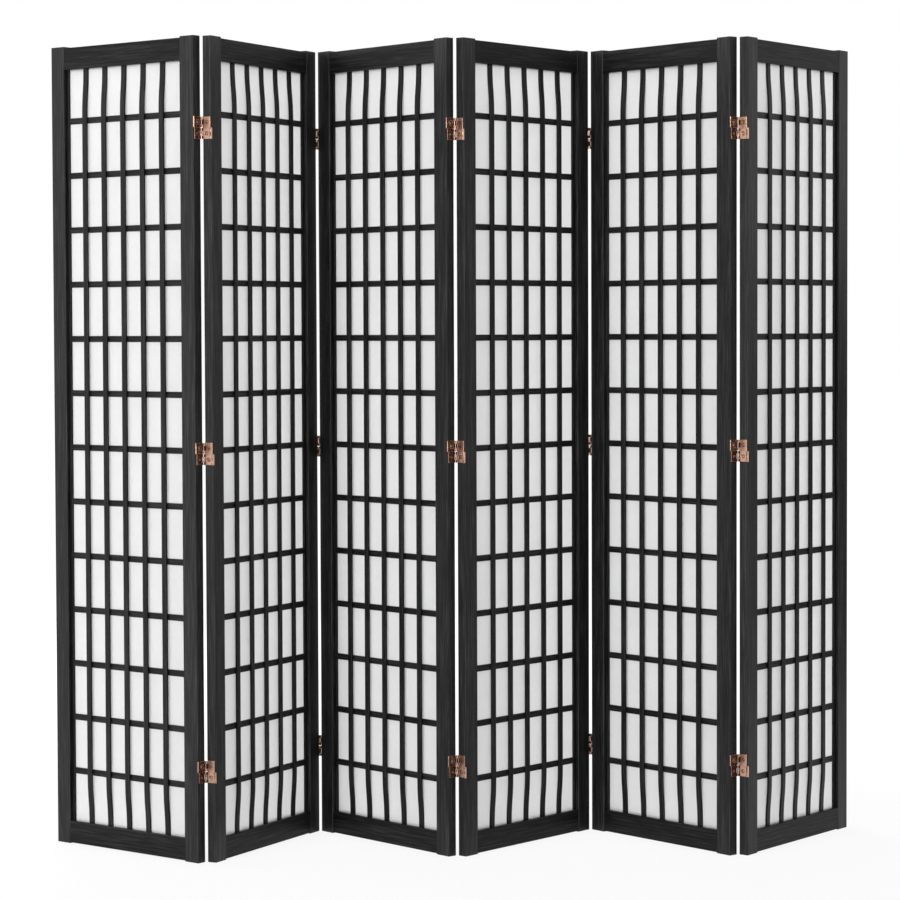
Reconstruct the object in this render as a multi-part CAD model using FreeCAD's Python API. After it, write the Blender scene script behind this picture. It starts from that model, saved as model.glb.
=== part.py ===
import FreeCAD, Part
import math
import os

os.makedirs("parts", exist_ok=True)

# Shoji folding screen: six framed paper panels that stand in a zigzag on their stiles, joined
# edge to edge by two-way screen hinges. Millimetres and degrees.
#
# A panel is built flat in its own frame: u runs along its width from the left edge, v runs from
# its front face to its back, and z is up from the floor.

# ---------------------------------------------------------------- overall
PANEL_COUNT = 6
PANEL_WIDTH = 440.0
PANEL_HEIGHT = 1790.0
FRAME_THICKNESS = 22.0
FIRST_HEADING = -38.9
# Angle between neighbouring panels, from the left fold to the right one. Fold 1 comes towards
# the viewer, fold 2 goes away, and so on in turn.
FOLD_OPENINGS = (79.1, 69.8, 82.5, 81.3, 77.8)

# ---------------------------------------------------------------- frame of one panel
STILE_WIDTH = 40.5
RAIL_WIDTH = 49.0
RAIL_INSET = 0.6
HORN_TOP = 3.0
HORN_BOTTOM = 2.0
STILE_EASE = 0.9
RAIL_EASE = 0.6
TENON_THICKNESS = 8.0
TENON_LENGTH = 28.0
TENON_SHOULDER = 9.0
MORTISE_ROOM = 1.0

# ---------------------------------------------------------------- lattice and paper
COLUMNS = 6
ROWS = 14
SLAT_WIDTH = 13.6
SLAT_THICKNESS = 4.8
SLAT_RECESS = 3.0
SIDE_SLAT_SHOW = 7.8
SLAT_RISE_CLEAR = 2.0
SLAT_SEAT_FLAT = 2.0
TONGUE_LENGTH = 4.0
TONGUE_HEIGHT = 8.0
TONGUE_THICKNESS = 2.4
TONGUE_ROOM = 0.3
PAPER_THICKNESS = 0.4
GROOVE_ROOM = 0.4

# ---------------------------------------------------------------- two-way hinges
PANEL_GAP = 7.0
HINGE_HEIGHT = 48.0
HINGE_END_OFFSET = 198.0
HINGE_MIDDLE_DROP = 6.0
PLATE_THICKNESS = 1.2
PLATE_CLEAR = 0.3
KNUCKLE_RADIUS = 3.0
KNUCKLE_CLEAR = 0.4
KNUCKLE_END_GAP = 0.3
LEAF_KNUCKLE_LENGTH = 6.0
HALF_GAP = 1.0
PIN_RADIUS = 1.5
PIN_RUNNING_FIT = 0.05
PIN_CHAMFER = 0.3
AXIS_PROUD = 0.5
SCREW_HEAD_RADIUS = 3.25
SCREW_SHANK_RADIUS = 1.7
SCREW_LENGTH = 18.0
SCREW_POINT_LENGTH = 3.0
SCREW_FIT = 0.05
SCREW_SLOT_WIDTH = 0.8
SCREW_SLOT_DEPTH = 0.6
ACCESS_HOLE_RADIUS = 5.0

# ---------------------------------------------------------------- worked out from the above
CUT_PAST = 1.0
SLAT_FRONT_LAYER = (SLAT_RECESS, SLAT_RECESS + SLAT_THICKNESS)
SLAT_BACK_LAYER = (SLAT_FRONT_LAYER[1], SLAT_FRONT_LAYER[1] + SLAT_THICKNESS)
PAPER_LAYER = (SLAT_BACK_LAYER[1], SLAT_BACK_LAYER[1] + PAPER_THICKNESS)
SEAT_DEPTH = SLAT_WIDTH - SIDE_SLAT_SHOW
GROOVE_DEPTH = SEAT_DEPTH + GROOVE_ROOM
OPENING_LEFT = STILE_WIDTH
OPENING_RIGHT = PANEL_WIDTH - STILE_WIDTH
OPENING_BOTTOM = HORN_BOTTOM + RAIL_WIDTH
OPENING_TOP = PANEL_HEIGHT - HORN_TOP - RAIL_WIDTH
PANE_WIDTH = (OPENING_RIGHT - OPENING_LEFT - 2 * SIDE_SLAT_SHOW - (COLUMNS - 1) * SLAT_WIDTH) / COLUMNS
PANE_HEIGHT = (OPENING_TOP - OPENING_BOTTOM - (ROWS - 1) * SLAT_WIDTH) / ROWS
TENON_FRONT = (FRAME_THICKNESS - TENON_THICKNESS) / 2
AXIS_OFFSET = FRAME_THICKNESS / 2 + AXIS_PROUD
PLATE_HALF_WIDTH = AXIS_OFFSET - KNUCKLE_RADIUS - KNUCKLE_CLEAR
BORE_RADIUS = PIN_RADIUS + PIN_RUNNING_FIT
HALF_LOW = HALF_GAP / 2
HALF_HIGH = HINGE_HEIGHT / 2
SCREW_LEVEL = (HALF_LOW + HALF_HIGH) / 2
HINGE_LEVELS = (
    HINGE_END_OFFSET,
    PANEL_HEIGHT / 2 - HINGE_MIDDLE_DROP,
    PANEL_HEIGHT - HINGE_END_OFFSET,
)

LEFT, RIGHT = -1, 1
FRONT, BACK = -1, 1
UPPER, LOWER = 1, -1


# ---------------------------------------------------------------- shape helpers
def box(along_u, along_v, along_z):
    """Block between the lowest and highest value on each axis."""
    corner = FreeCAD.Vector(along_u[0], along_v[0], along_z[0])
    return Part.makeBox(
        along_u[1] - along_u[0], along_v[1] - along_v[0], along_z[1] - along_z[0], corner
    )


def cylinder(radius, start, direction, length):
    """Round bar from start along direction."""
    return Part.makeCylinder(radius, length, FreeCAD.Vector(*start), FreeCAD.Vector(*direction))


def span(a, b):
    """The two values, lower one first."""
    return (min(a, b), max(a, b))


def from_edge(side, near, far):
    """Stretch of u that lies from near to far inwards of the panel's left or right edge."""
    if side == LEFT:
        return (near, far)
    return (PANEL_WIDTH - far, PANEL_WIDTH - near)


def eased(block, reach, is_eased):
    """Block with the edges that is_eased picks chamfered by reach."""
    edges = [edge for edge in block.Edges if is_eased(edge)]
    return block.makeChamfer(reach, edges)


def runs_along(edge, axis):
    """True for a straight edge parallel to the named axis (0 u, 1 v, 2 z)."""
    ends = [vertex.Point for vertex in edge.Vertexes]
    step = ends[1] - ends[0]
    return abs(step[axis]) > 0.999 * step.Length


# ---------------------------------------------------------------- frame
def rail_heights():
    """Lowest and highest z of the bottom rail and of the top rail."""
    bottom = (HORN_BOTTOM, OPENING_BOTTOM)
    top = (OPENING_TOP, PANEL_HEIGHT - HORN_TOP)
    return bottom, top


def tenon_heights():
    """Lowest and highest z of each rail's tenons, which keep clear of the paper groove."""
    bottom, top = rail_heights()
    return (
        (bottom[0] + TENON_SHOULDER, bottom[1] - TENON_SHOULDER),
        (top[0] + TENON_SHOULDER, top[1] - TENON_SHOULDER),
    )


def stile(side, hinged):
    """Upright of the frame, grooved for the lattice, mortised for the rails, drilled for screws."""
    block = box(from_edge(side, 0, STILE_WIDTH), (0, FRAME_THICKNESS), (0, PANEL_HEIGHT))
    block = eased(block, STILE_EASE, lambda edge: True)
    inner = STILE_WIDTH + CUT_PAST
    cuts = [
        box(
            from_edge(side, STILE_WIDTH - GROOVE_DEPTH, inner),
            (SLAT_BACK_LAYER[0], PAPER_LAYER[1]),
            (OPENING_BOTTOM - GROOVE_DEPTH, OPENING_TOP + GROOVE_DEPTH),
        )
    ]
    for heights in tenon_heights():
        cuts.append(
            box(
                from_edge(side, STILE_WIDTH - TENON_LENGTH - MORTISE_ROOM, inner),
                (TENON_FRONT, TENON_FRONT + TENON_THICKNESS),
                heights,
            )
        )
    if hinged:
        cuts += screw_holes_in_edge(side)
    return block.cut(cuts)


def screw_holes_in_edge(side):
    """Pilot holes for the hinge screws, bored square into the panel's edge face."""
    edge_u = 0 if side == LEFT else PANEL_WIDTH
    inwards = -side
    depth = SCREW_LENGTH - PLATE_THICKNESS + MORTISE_ROOM
    holes = []
    for level in HINGE_LEVELS:
        for half in (UPPER, LOWER):
            start = (edge_u, FRAME_THICKNESS / 2, level + half * SCREW_LEVEL)
            holes.append(cylinder(SCREW_SHANK_RADIUS + SCREW_FIT, start, (inwards, 0, 0), depth))
    return holes


def rail(heights, tenons, groove):
    """Cross member between the stiles, with a tenon at each end and the paper groove."""
    faces = (RAIL_INSET, FRAME_THICKNESS - RAIL_INSET)
    block = box((OPENING_LEFT, OPENING_RIGHT), faces, heights)
    block = eased(block, RAIL_EASE, lambda edge: runs_along(edge, 0))
    tongue = box(
        (OPENING_LEFT - TENON_LENGTH, OPENING_RIGHT + TENON_LENGTH),
        (TENON_FRONT, TENON_FRONT + TENON_THICKNESS),
        tenons,
    )
    slot = box(
        (OPENING_LEFT - CUT_PAST, OPENING_RIGHT + CUT_PAST),
        (SLAT_BACK_LAYER[0], PAPER_LAYER[1]),
        groove,
    )
    return block.fuse(tongue).removeSplitter().cut(slot)


def rails():
    """Bottom rail and top rail."""
    bottom, top = rail_heights()
    bottom_tenons, top_tenons = tenon_heights()
    return [
        rail(bottom, bottom_tenons, (OPENING_BOTTOM - GROOVE_DEPTH, OPENING_BOTTOM + CUT_PAST)),
        rail(top, top_tenons, (OPENING_TOP - CUT_PAST, OPENING_TOP + GROOVE_DEPTH)),
    ]


# ---------------------------------------------------------------- lattice
def upright_starts():
    """Left side of each upright slat."""
    first = OPENING_LEFT + SIDE_SLAT_SHOW + PANE_WIDTH
    return [first + i * (PANE_WIDTH + SLAT_WIDTH) for i in range(COLUMNS - 1)]


def cross_starts():
    """Underside of each cross slat."""
    first = OPENING_BOTTOM + PANE_HEIGHT
    return [first + i * (PANE_HEIGHT + SLAT_WIDTH) for i in range(ROWS - 1)]


def bend_edges(v_from, z_from, v_to, z_to):
    """Two equal arcs that carry a slat's face from one depth to another in a long S."""
    rise = v_to - v_from
    run = z_to - z_from
    radius = (run * run + rise * rise) / (4 * abs(rise))
    half_turn = math.asin(abs(run) / (2 * radius)) / 2
    over = math.copysign(radius * (1 - math.cos(half_turn)), rise)
    along = math.copysign(radius * math.sin(half_turn), run)
    start = FreeCAD.Vector(0, v_from, z_from)
    middle = FreeCAD.Vector(0, v_from + rise / 2, z_from + run / 2)
    end = FreeCAD.Vector(0, v_to, z_to)
    first = Part.Arc(start, FreeCAD.Vector(0, v_from + over, z_from + along), middle)
    second = Part.Arc(middle, FreeCAD.Vector(0, v_to - over, z_to - along), end)
    return [first.toShape(), second.toShape()]


def upright_face(layer_index, upwards):
    """Edges of an upright slat's front or back face, bent back at both ends into the rails."""
    seated = SLAT_BACK_LAYER[layer_index]
    raised = SLAT_FRONT_LAYER[layer_index]
    cross = cross_starts()
    levels = (
        OPENING_BOTTOM - SEAT_DEPTH,
        OPENING_BOTTOM + SLAT_SEAT_FLAT,
        cross[0] - SLAT_RISE_CLEAR,
        cross[-1] + SLAT_WIDTH + SLAT_RISE_CLEAR,
        OPENING_TOP - SLAT_SEAT_FLAT,
        OPENING_TOP + SEAT_DEPTH,
    )
    if not upwards:
        levels = levels[::-1]
    edges = [Part.makeLine((0, seated, levels[0]), (0, seated, levels[1]))]
    edges += bend_edges(seated, levels[1], raised, levels[2])
    edges.append(Part.makeLine((0, raised, levels[2]), (0, raised, levels[3])))
    edges += bend_edges(raised, levels[3], seated, levels[4])
    edges.append(Part.makeLine((0, seated, levels[4]), (0, seated, levels[5])))
    return edges


def upright_slat(start):
    """One sprung upright slat: over the cross slats in the middle, on the paper at its ends."""
    low = OPENING_BOTTOM - SEAT_DEPTH
    high = OPENING_TOP + SEAT_DEPTH
    front, back = SLAT_BACK_LAYER
    edges = upright_face(0, True)
    edges.append(Part.makeLine((0, front, high), (0, back, high)))
    edges += upright_face(1, False)
    edges.append(Part.makeLine((0, back, low), (0, front, low)))
    side = Part.Face(Part.Wire(edges))
    slat = side.extrude(FreeCAD.Vector(SLAT_WIDTH, 0, 0))
    slat.translate(FreeCAD.Vector(start, 0, 0))
    return slat


def tongue_range(low, high, size):
    """Stretch of the given size in the middle of low to high."""
    middle = (low + high) / 2
    return (middle - size / 2, middle + size / 2)


def tongue_sides(cross_start):
    """Depth and height of the tongue on a cross slat's end."""
    depth = tongue_range(SLAT_BACK_LAYER[0], SLAT_BACK_LAYER[1], TONGUE_THICKNESS)
    height = tongue_range(cross_start, cross_start + SLAT_WIDTH, TONGUE_HEIGHT)
    return depth, height


def cross_slat(start):
    """One slat across the panel, tongued at both ends into the side slats."""
    left = OPENING_LEFT + SIDE_SLAT_SHOW
    right = OPENING_RIGHT - SIDE_SLAT_SHOW
    bar = box((left, right), SLAT_BACK_LAYER, (start, start + SLAT_WIDTH))
    depth, height = tongue_sides(start)
    tongue = box((left - TONGUE_LENGTH, right + TONGUE_LENGTH), depth, height)
    return bar.fuse(tongue).removeSplitter()


def side_slat(side):
    """Slat seated in a stile's groove, with a mortise for each cross slat."""
    inner = STILE_WIDTH + SIDE_SLAT_SHOW
    bar = box(
        from_edge(side, inner - SLAT_WIDTH, inner),
        SLAT_BACK_LAYER,
        (OPENING_BOTTOM - SEAT_DEPTH, OPENING_TOP + SEAT_DEPTH),
    )
    mortises = []
    for start in cross_starts():
        depth, height = tongue_sides(start)
        reach = from_edge(side, inner - TONGUE_LENGTH - TONGUE_ROOM, inner + CUT_PAST)
        mortises.append(box(reach, depth, height))
    return bar.cut(mortises)


def paper():
    """One sheet behind the lattice, with its edges held in the frame's grooves."""
    return box(
        (OPENING_LEFT - SEAT_DEPTH, OPENING_RIGHT + SEAT_DEPTH),
        PAPER_LAYER,
        (OPENING_BOTTOM - SEAT_DEPTH, OPENING_TOP + SEAT_DEPTH),
    )


# ---------------------------------------------------------------- hinges
# A hinge is built about the middle of the gap between two straight panels: x across the gap
# from the left panel to the right one, y from front to back, z up. It has a leaf on each edge
# face and two crossed links. The upper link joins the left leaf's front knuckles to the right
# leaf's back knuckles, and the lower link joins the other two, so the screen folds both ways.
def knuckle_stretches(half):
    """z of the two leaf knuckles and, between them, of the link's knuckle, in one half."""
    outer = (HALF_HIGH - LEAF_KNUCKLE_LENGTH, HALF_HIGH)
    inner = (HALF_LOW, HALF_LOW + LEAF_KNUCKLE_LENGTH)
    link = (inner[1] + KNUCKLE_END_GAP, outer[0] - KNUCKLE_END_GAP)
    placed = [span(half * low, half * high) for low, high in (inner, outer, link)]
    return placed[:2], placed[2]


def knuckle(axis_side, plate, heights):
    """Rolled eye round one pivot axis, with the tab that joins it to its plate."""
    axis_y = axis_side * AXIS_OFFSET
    eye = cylinder(KNUCKLE_RADIUS, (0, axis_y, heights[0]), (0, 0, 1), heights[1] - heights[0])
    tab = box(plate, span(axis_side * PLATE_HALF_WIDTH, axis_y), heights)
    return [eye, tab]


def bore(axis_side, heights):
    """Hole for the pivot pin through the eyes on one axis."""
    start = (0, axis_side * AXIS_OFFSET, heights[0] - CUT_PAST)
    return cylinder(BORE_RADIUS, start, (0, 0, 1), heights[1] - heights[0] + 2 * CUT_PAST)


def leaf_axis(side, half):
    """Whether a leaf's knuckles are at the front or at the back in the given half."""
    return FRONT if side * half == -1 else BACK


def leaf(side):
    """Plate screwed to a panel's edge face, with knuckles at opposite corners."""
    plate = span(side * PANEL_GAP / 2, side * (PANEL_GAP / 2 - PLATE_THICKNESS))
    body = box(plate, (-PLATE_HALF_WIDTH, PLATE_HALF_WIDTH), (-HALF_HIGH, HALF_HIGH))
    added, removed = [], []
    for half in (UPPER, LOWER):
        axis_side = leaf_axis(side, half)
        leaf_stretches, _ = knuckle_stretches(half)
        for heights in leaf_stretches:
            added += knuckle(axis_side, plate, heights)
            removed.append(bore(axis_side, heights))
        removed.append(countersink(side, half))
    return body.fuse(added).removeSplitter().cut(removed)


def countersink(side, half):
    """Cone through a leaf that lets a screw head lie flush."""
    surface = side * (PANEL_GAP / 2 - PLATE_THICKNESS)
    return Part.makeCone(
        SCREW_HEAD_RADIUS + SCREW_FIT,
        SCREW_SHANK_RADIUS + SCREW_FIT,
        PLATE_THICKNESS,
        FreeCAD.Vector(surface, 0, half * SCREW_LEVEL),
        FreeCAD.Vector(side, 0, 0),
    )


def link(half, side):
    """Plate between the two pivot axes, lying against the leaf on the given side."""
    outer = PANEL_GAP / 2 - PLATE_THICKNESS - PLATE_CLEAR
    plate = span(side * outer, side * (outer - PLATE_THICKNESS))
    _, eye_heights = knuckle_stretches(half)
    body = box(
        plate, (-PLATE_HALF_WIDTH, PLATE_HALF_WIDTH), span(half * HALF_LOW, half * HALF_HIGH)
    )
    added, removed = [], []
    for axis_side in (FRONT, BACK):
        added += knuckle(axis_side, plate, eye_heights)
        removed.append(bore(axis_side, eye_heights))
    hole_start = (-PANEL_GAP / 2, 0, half * SCREW_LEVEL)
    removed.append(cylinder(ACCESS_HOLE_RADIUS, hole_start, (1, 0, 0), PANEL_GAP))
    return body.fuse(added).removeSplitter().cut(removed)


def pin(axis_side, half):
    """Pivot pin through the eyes of one half, on the front or the back axis."""
    start = (0, axis_side * AXIS_OFFSET, min(half * HALF_LOW, half * HALF_HIGH))
    rod = cylinder(PIN_RADIUS, start, (0, 0, 1), HALF_HIGH - HALF_LOW)
    return rod.makeChamfer(PIN_CHAMFER, [edge for edge in rod.Edges if edge.Closed])


def screw(side, half):
    """Countersunk cross-slotted wood screw, driven into the panel's edge."""
    surface = side * (PANEL_GAP / 2 - PLATE_THICKNESS)
    level = half * SCREW_LEVEL
    outwards = FreeCAD.Vector(side, 0, 0)
    head = Part.makeCone(
        SCREW_HEAD_RADIUS,
        SCREW_SHANK_RADIUS,
        PLATE_THICKNESS,
        FreeCAD.Vector(surface, 0, level),
        outwards,
    )
    shank_start = surface + side * PLATE_THICKNESS
    shank_length = SCREW_LENGTH - PLATE_THICKNESS - SCREW_POINT_LENGTH
    shank = cylinder(SCREW_SHANK_RADIUS, (shank_start, 0, level), (side, 0, 0), shank_length)
    point = Part.makeCone(
        SCREW_SHANK_RADIUS,
        0,
        SCREW_POINT_LENGTH,
        FreeCAD.Vector(shank_start + side * shank_length, 0, level),
        outwards,
    )
    slot_reach = span(surface - side * CUT_PAST, surface + side * SCREW_SLOT_DEPTH)
    arm = SCREW_HEAD_RADIUS * 0.7
    half_slot = SCREW_SLOT_WIDTH / 2
    slots = [
        box(slot_reach, (-arm, arm), (level - half_slot, level + half_slot)),
        box(slot_reach, (-half_slot, half_slot), (level - arm, level + arm)),
    ]
    return head.fuse([shank, point]).cut(slots)


def is_near_fold(fold):
    """Folds 1, 3 and 5 point towards the viewer, so they turn about their back pivots."""
    return fold % 2 == 1


def link_side(fold, half):
    """The side that a link rides with. It stays with the leaf that its idle pivot is on."""
    idle_axis = FRONT if is_near_fold(fold) else BACK
    return LEFT if leaf_axis(LEFT, half) == idle_axis else RIGHT


def hinge_group(fold, side):
    """Pieces of one hinge that ride with the panel on the given side, by kind."""
    pieces = {"leaves": [leaf(side)], "links": [], "pins": [], "screws": []}
    for half in (UPPER, LOWER):
        pieces["pins"].append(pin(leaf_axis(side, half), half))
        pieces["screws"].append(screw(side, half))
        if link_side(fold, half) == side:
            pieces["links"].append(link(half, side))
    return pieces


def hinge_pieces(panel):
    """All hinge pieces on one panel's edges, by kind, in the panel's own frame."""
    found = {"leaves": [], "links": [], "pins": [], "screws": []}
    edges = []
    if panel > 1:
        edges.append((panel - 1, RIGHT, -PANEL_GAP / 2))
    if panel < PANEL_COUNT:
        edges.append((panel, LEFT, PANEL_WIDTH + PANEL_GAP / 2))
    for fold, side, gap_middle in edges:
        group = hinge_group(fold, side)
        for level in HINGE_LEVELS:
            place = FreeCAD.Vector(gap_middle, FRAME_THICKNESS / 2, level)
            for kind, shapes in group.items():
                found[kind] += [shape.translated(place) for shape in shapes]
    return found


# ---------------------------------------------------------------- panels
def panel_nodes(panel):
    """Node name to solids for one panel, in the panel's own frame."""
    hinges = hinge_pieces(panel)
    pieces = {
        "left_stile": [stile(LEFT, panel > 1)],
        "right_stile": [stile(RIGHT, panel < PANEL_COUNT)],
        "rails": rails(),
        "front_slats": [upright_slat(start) for start in upright_starts()],
        "back_slats": [cross_slat(start) for start in cross_starts()]
        + [side_slat(side) for side in (LEFT, RIGHT)],
        "paper": [paper()],
        "hinge_leaves": hinges["leaves"],
        "hinge_links": hinges["links"],
        "hinge_pins": hinges["pins"],
        "hinge_screws": hinges["screws"],
    }
    return {f"panel_{panel}_{name}": shapes for name, shapes in pieces.items()}


def headings():
    """Direction of each panel's width, in degrees from +X."""
    found = [FIRST_HEADING]
    for fold, opening in enumerate(FOLD_OPENINGS, start=1):
        turn = 180 - opening
        found.append(found[-1] + (turn if is_near_fold(fold) else -turn))
    return found


def pivot_v(fold):
    """Depth of the axis that a fold turns about, in a panel's own frame."""
    return FRAME_THICKNESS + AXIS_PROUD if is_near_fold(fold) else -AXIS_PROUD


def panel_placements():
    """Where each panel's own frame stands, and the pivot of each fold, in the first draft."""
    turns = [FreeCAD.Rotation(FreeCAD.Vector(0, 0, 1), angle) for angle in headings()]
    origin = FreeCAD.Vector(0, 0, 0)
    placements = [FreeCAD.Placement(origin, turns[0])]
    pivots = []
    for fold in range(1, PANEL_COUNT):
        depth = pivot_v(fold)
        right_edge = FreeCAD.Vector(PANEL_WIDTH + PANEL_GAP / 2, depth, 0)
        left_edge = FreeCAD.Vector(-PANEL_GAP / 2, depth, 0)
        pivot = placements[-1].multVec(right_edge)
        pivots.append(pivot)
        placements.append(FreeCAD.Placement(pivot - turns[fold].multVec(left_edge), turns[fold]))
    return placements, pivots


def build():
    """Every node's shape at rest, standing on z = 0 with its box centred on the origin."""
    placements, pivots = panel_placements()
    nodes = {}
    for panel, placement in enumerate(placements, start=1):
        for name, shapes in panel_nodes(panel).items():
            placed = Part.makeCompound(shapes)
            placed.Placement = placement
            nodes[name] = placed
    whole = Part.makeCompound(list(nodes.values())).optimalBoundingBox(False, False)
    centre = FreeCAD.Vector(-whole.Center.x, -whole.Center.y, 0)
    for shape in nodes.values():
        shape.translate(centre)
    return nodes, [pivot + centre for pivot in pivots]


def main():
    """Write one file for each node."""
    nodes, pivots = build()
    for name, shape in nodes.items():
        shape.exportStep(f"parts/{name}.step")
    for fold, pivot in enumerate(pivots, start=1):
        print(f"fold {fold} pivot {pivot.x:.4f} {pivot.y:.4f}")
    return nodes


main()
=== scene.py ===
import logging
import math
from dataclasses import dataclass, field
from enum import Enum
from typing import Any

import bmesh
import bpy
import numpy as np
from mathutils import Matrix, Vector


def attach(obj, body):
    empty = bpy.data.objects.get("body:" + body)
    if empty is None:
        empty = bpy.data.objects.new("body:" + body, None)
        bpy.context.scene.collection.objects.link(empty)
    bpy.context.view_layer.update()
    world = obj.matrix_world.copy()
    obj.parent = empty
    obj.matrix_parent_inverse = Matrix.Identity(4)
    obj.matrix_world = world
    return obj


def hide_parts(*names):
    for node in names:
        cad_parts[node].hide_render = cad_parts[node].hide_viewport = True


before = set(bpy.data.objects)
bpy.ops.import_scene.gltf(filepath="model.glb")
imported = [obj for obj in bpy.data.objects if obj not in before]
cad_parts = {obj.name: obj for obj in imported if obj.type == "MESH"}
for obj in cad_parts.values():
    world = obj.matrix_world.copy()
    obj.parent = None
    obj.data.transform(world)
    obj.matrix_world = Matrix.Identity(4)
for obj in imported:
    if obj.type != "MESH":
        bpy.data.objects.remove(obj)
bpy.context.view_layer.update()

# Shoji folding screen: six framed paper panels in a zigzag, joined by copper-coloured two-way
# hinges. A panel is described in its own frame, in metres: u runs along its width from the left
# edge, v from its front face to its back, and z is up from the floor.

LOG = logging.getLogger("folding_screen")
Array = np.ndarray
Pair = tuple[float, float]
Triple = tuple[float, float, float]

RANDOM_SEED = 51
WELD_DISTANCE = 1e-5
SHARP_ANGLE = math.radians(55)
PATTERN_SHIFT = 3.0
WHITE = (1.0, 1.0, 1.0)


# ---------------------------------------------------------------- named options
class Side(Enum):
    """Left or right edge of a panel, or side of a hinge."""

    LEFT = -1
    RIGHT = 1


class Axis(Enum):
    """Front or back pivot axis of a hinge."""

    FRONT = -1
    BACK = 1


class Half(Enum):
    """Upper or lower half of a hinge."""

    UPPER = 1
    LOWER = -1


class Run(Enum):
    """The way a stick's grain runs in its panel."""

    UPRIGHT = "upright"
    ACROSS = "across"


# ---------------------------------------------------------------- sizes
@dataclass(frozen=True)
class PanelSizes:
    """Real sizes of one framed panel and its lattice, in metres."""

    count: int = 6
    width: float = 0.440
    height: float = 1.790
    thickness: float = 0.022
    gap: float = 0.007
    stile_width: float = 0.0405
    rail_width: float = 0.049
    rail_inset: float = 0.0006
    horn_top: float = 0.003
    horn_bottom: float = 0.002
    columns: int = 6
    rows: int = 14
    slat_width: float = 0.0136
    slat_thickness: float = 0.0048
    slat_recess: float = 0.003
    side_slat_show: float = 0.0078
    rise_clear: float = 0.002
    seat_flat: float = 0.002
    paper_thickness: float = 0.0004

    @property
    def opening_u(self) -> Pair:
        """Left and right sides of the opening between the stiles."""
        return self.stile_width, self.width - self.stile_width

    @property
    def opening_z(self) -> Pair:
        """Bottom and top of the opening between the rails."""
        return self.horn_bottom + self.rail_width, self.height - self.horn_top - self.rail_width

    @property
    def front_layer(self) -> float:
        """Middle depth of the upright slats where they stand forward."""
        return self.slat_recess + self.slat_thickness / 2

    @property
    def back_layer(self) -> float:
        """Middle depth of the cross slats and the side slats."""
        return self.front_layer + self.slat_thickness

    @property
    def paper_depth(self) -> float:
        """Middle depth of the paper."""
        return self.back_layer + (self.slat_thickness + self.paper_thickness) / 2

    @property
    def seat(self) -> float:
        """How far slats and paper reach into the frame's grooves."""
        return self.slat_width - self.side_slat_show

    @property
    def seated_u(self) -> Pair:
        """Left and right ends of what is seated in the stiles' grooves."""
        return self.opening_u[0] - self.seat, self.opening_u[1] + self.seat

    @property
    def seated_z(self) -> Pair:
        """Lower and upper ends of what is seated in the rails' grooves."""
        return self.opening_z[0] - self.seat, self.opening_z[1] + self.seat

    @property
    def pane_width(self) -> float:
        """Clear width of a pane between two upright slats."""
        clear = self.opening_u[1] - self.opening_u[0] - 2 * self.side_slat_show
        return (clear - (self.columns - 1) * self.slat_width) / self.columns

    @property
    def pane_height(self) -> float:
        """Clear height of a pane between two cross slats."""
        clear = self.opening_z[1] - self.opening_z[0]
        return (clear - (self.rows - 1) * self.slat_width) / self.rows

    def upright_middles(self) -> Array:
        """Middle u of each upright slat."""
        first = self.opening_u[0] + self.side_slat_show + self.pane_width + self.slat_width / 2
        return first + np.arange(self.columns - 1) * (self.pane_width + self.slat_width)

    def cross_middles(self) -> Array:
        """Middle z of each cross slat."""
        first = self.opening_z[0] + self.pane_height + self.slat_width / 2
        return first + np.arange(self.rows - 1) * (self.pane_height + self.slat_width)


@dataclass(frozen=True)
class HingeSizes:
    """Real sizes of one two-way hinge, in metres."""

    height: float = 0.048
    end_offset: float = 0.198
    middle_drop: float = 0.006
    plate: float = 0.0012
    plate_clear: float = 0.0003
    eye_radius: float = 0.003
    eye_clear: float = 0.0004
    eye_end_gap: float = 0.0003
    leaf_eye_length: float = 0.006
    half_gap: float = 0.001
    pin_radius: float = 0.0015
    pin_clear: float = 0.0002
    axis_proud: float = 0.0005
    screw_head: float = 0.0032
    screw_shank: float = 0.0017
    screw_length: float = 0.018
    screw_clear: float = 0.0001
    access_hole: float = 0.005

    @property
    def half_low(self) -> float:
        """Where a half starts, above or below the hinge's middle."""
        return self.half_gap / 2

    @property
    def half_high(self) -> float:
        """Where a half ends."""
        return self.height / 2

    @property
    def screw_level(self) -> float:
        """Height of a screw above or below the hinge's middle."""
        return (self.half_low + self.half_high) / 2


# ---------------------------------------------------------------- places
def mesh_points(mesh: bpy.types.Mesh) -> Array:
    """Vertex positions of a mesh.

    Args:
        mesh: The mesh to read.

    Returns:
        Array of shape (vertices, 3).
    """
    found = np.empty(len(mesh.vertices) * 3, np.float32)
    mesh.vertices.foreach_get("co", found)
    return found.reshape(-1, 3).astype(float)


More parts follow.
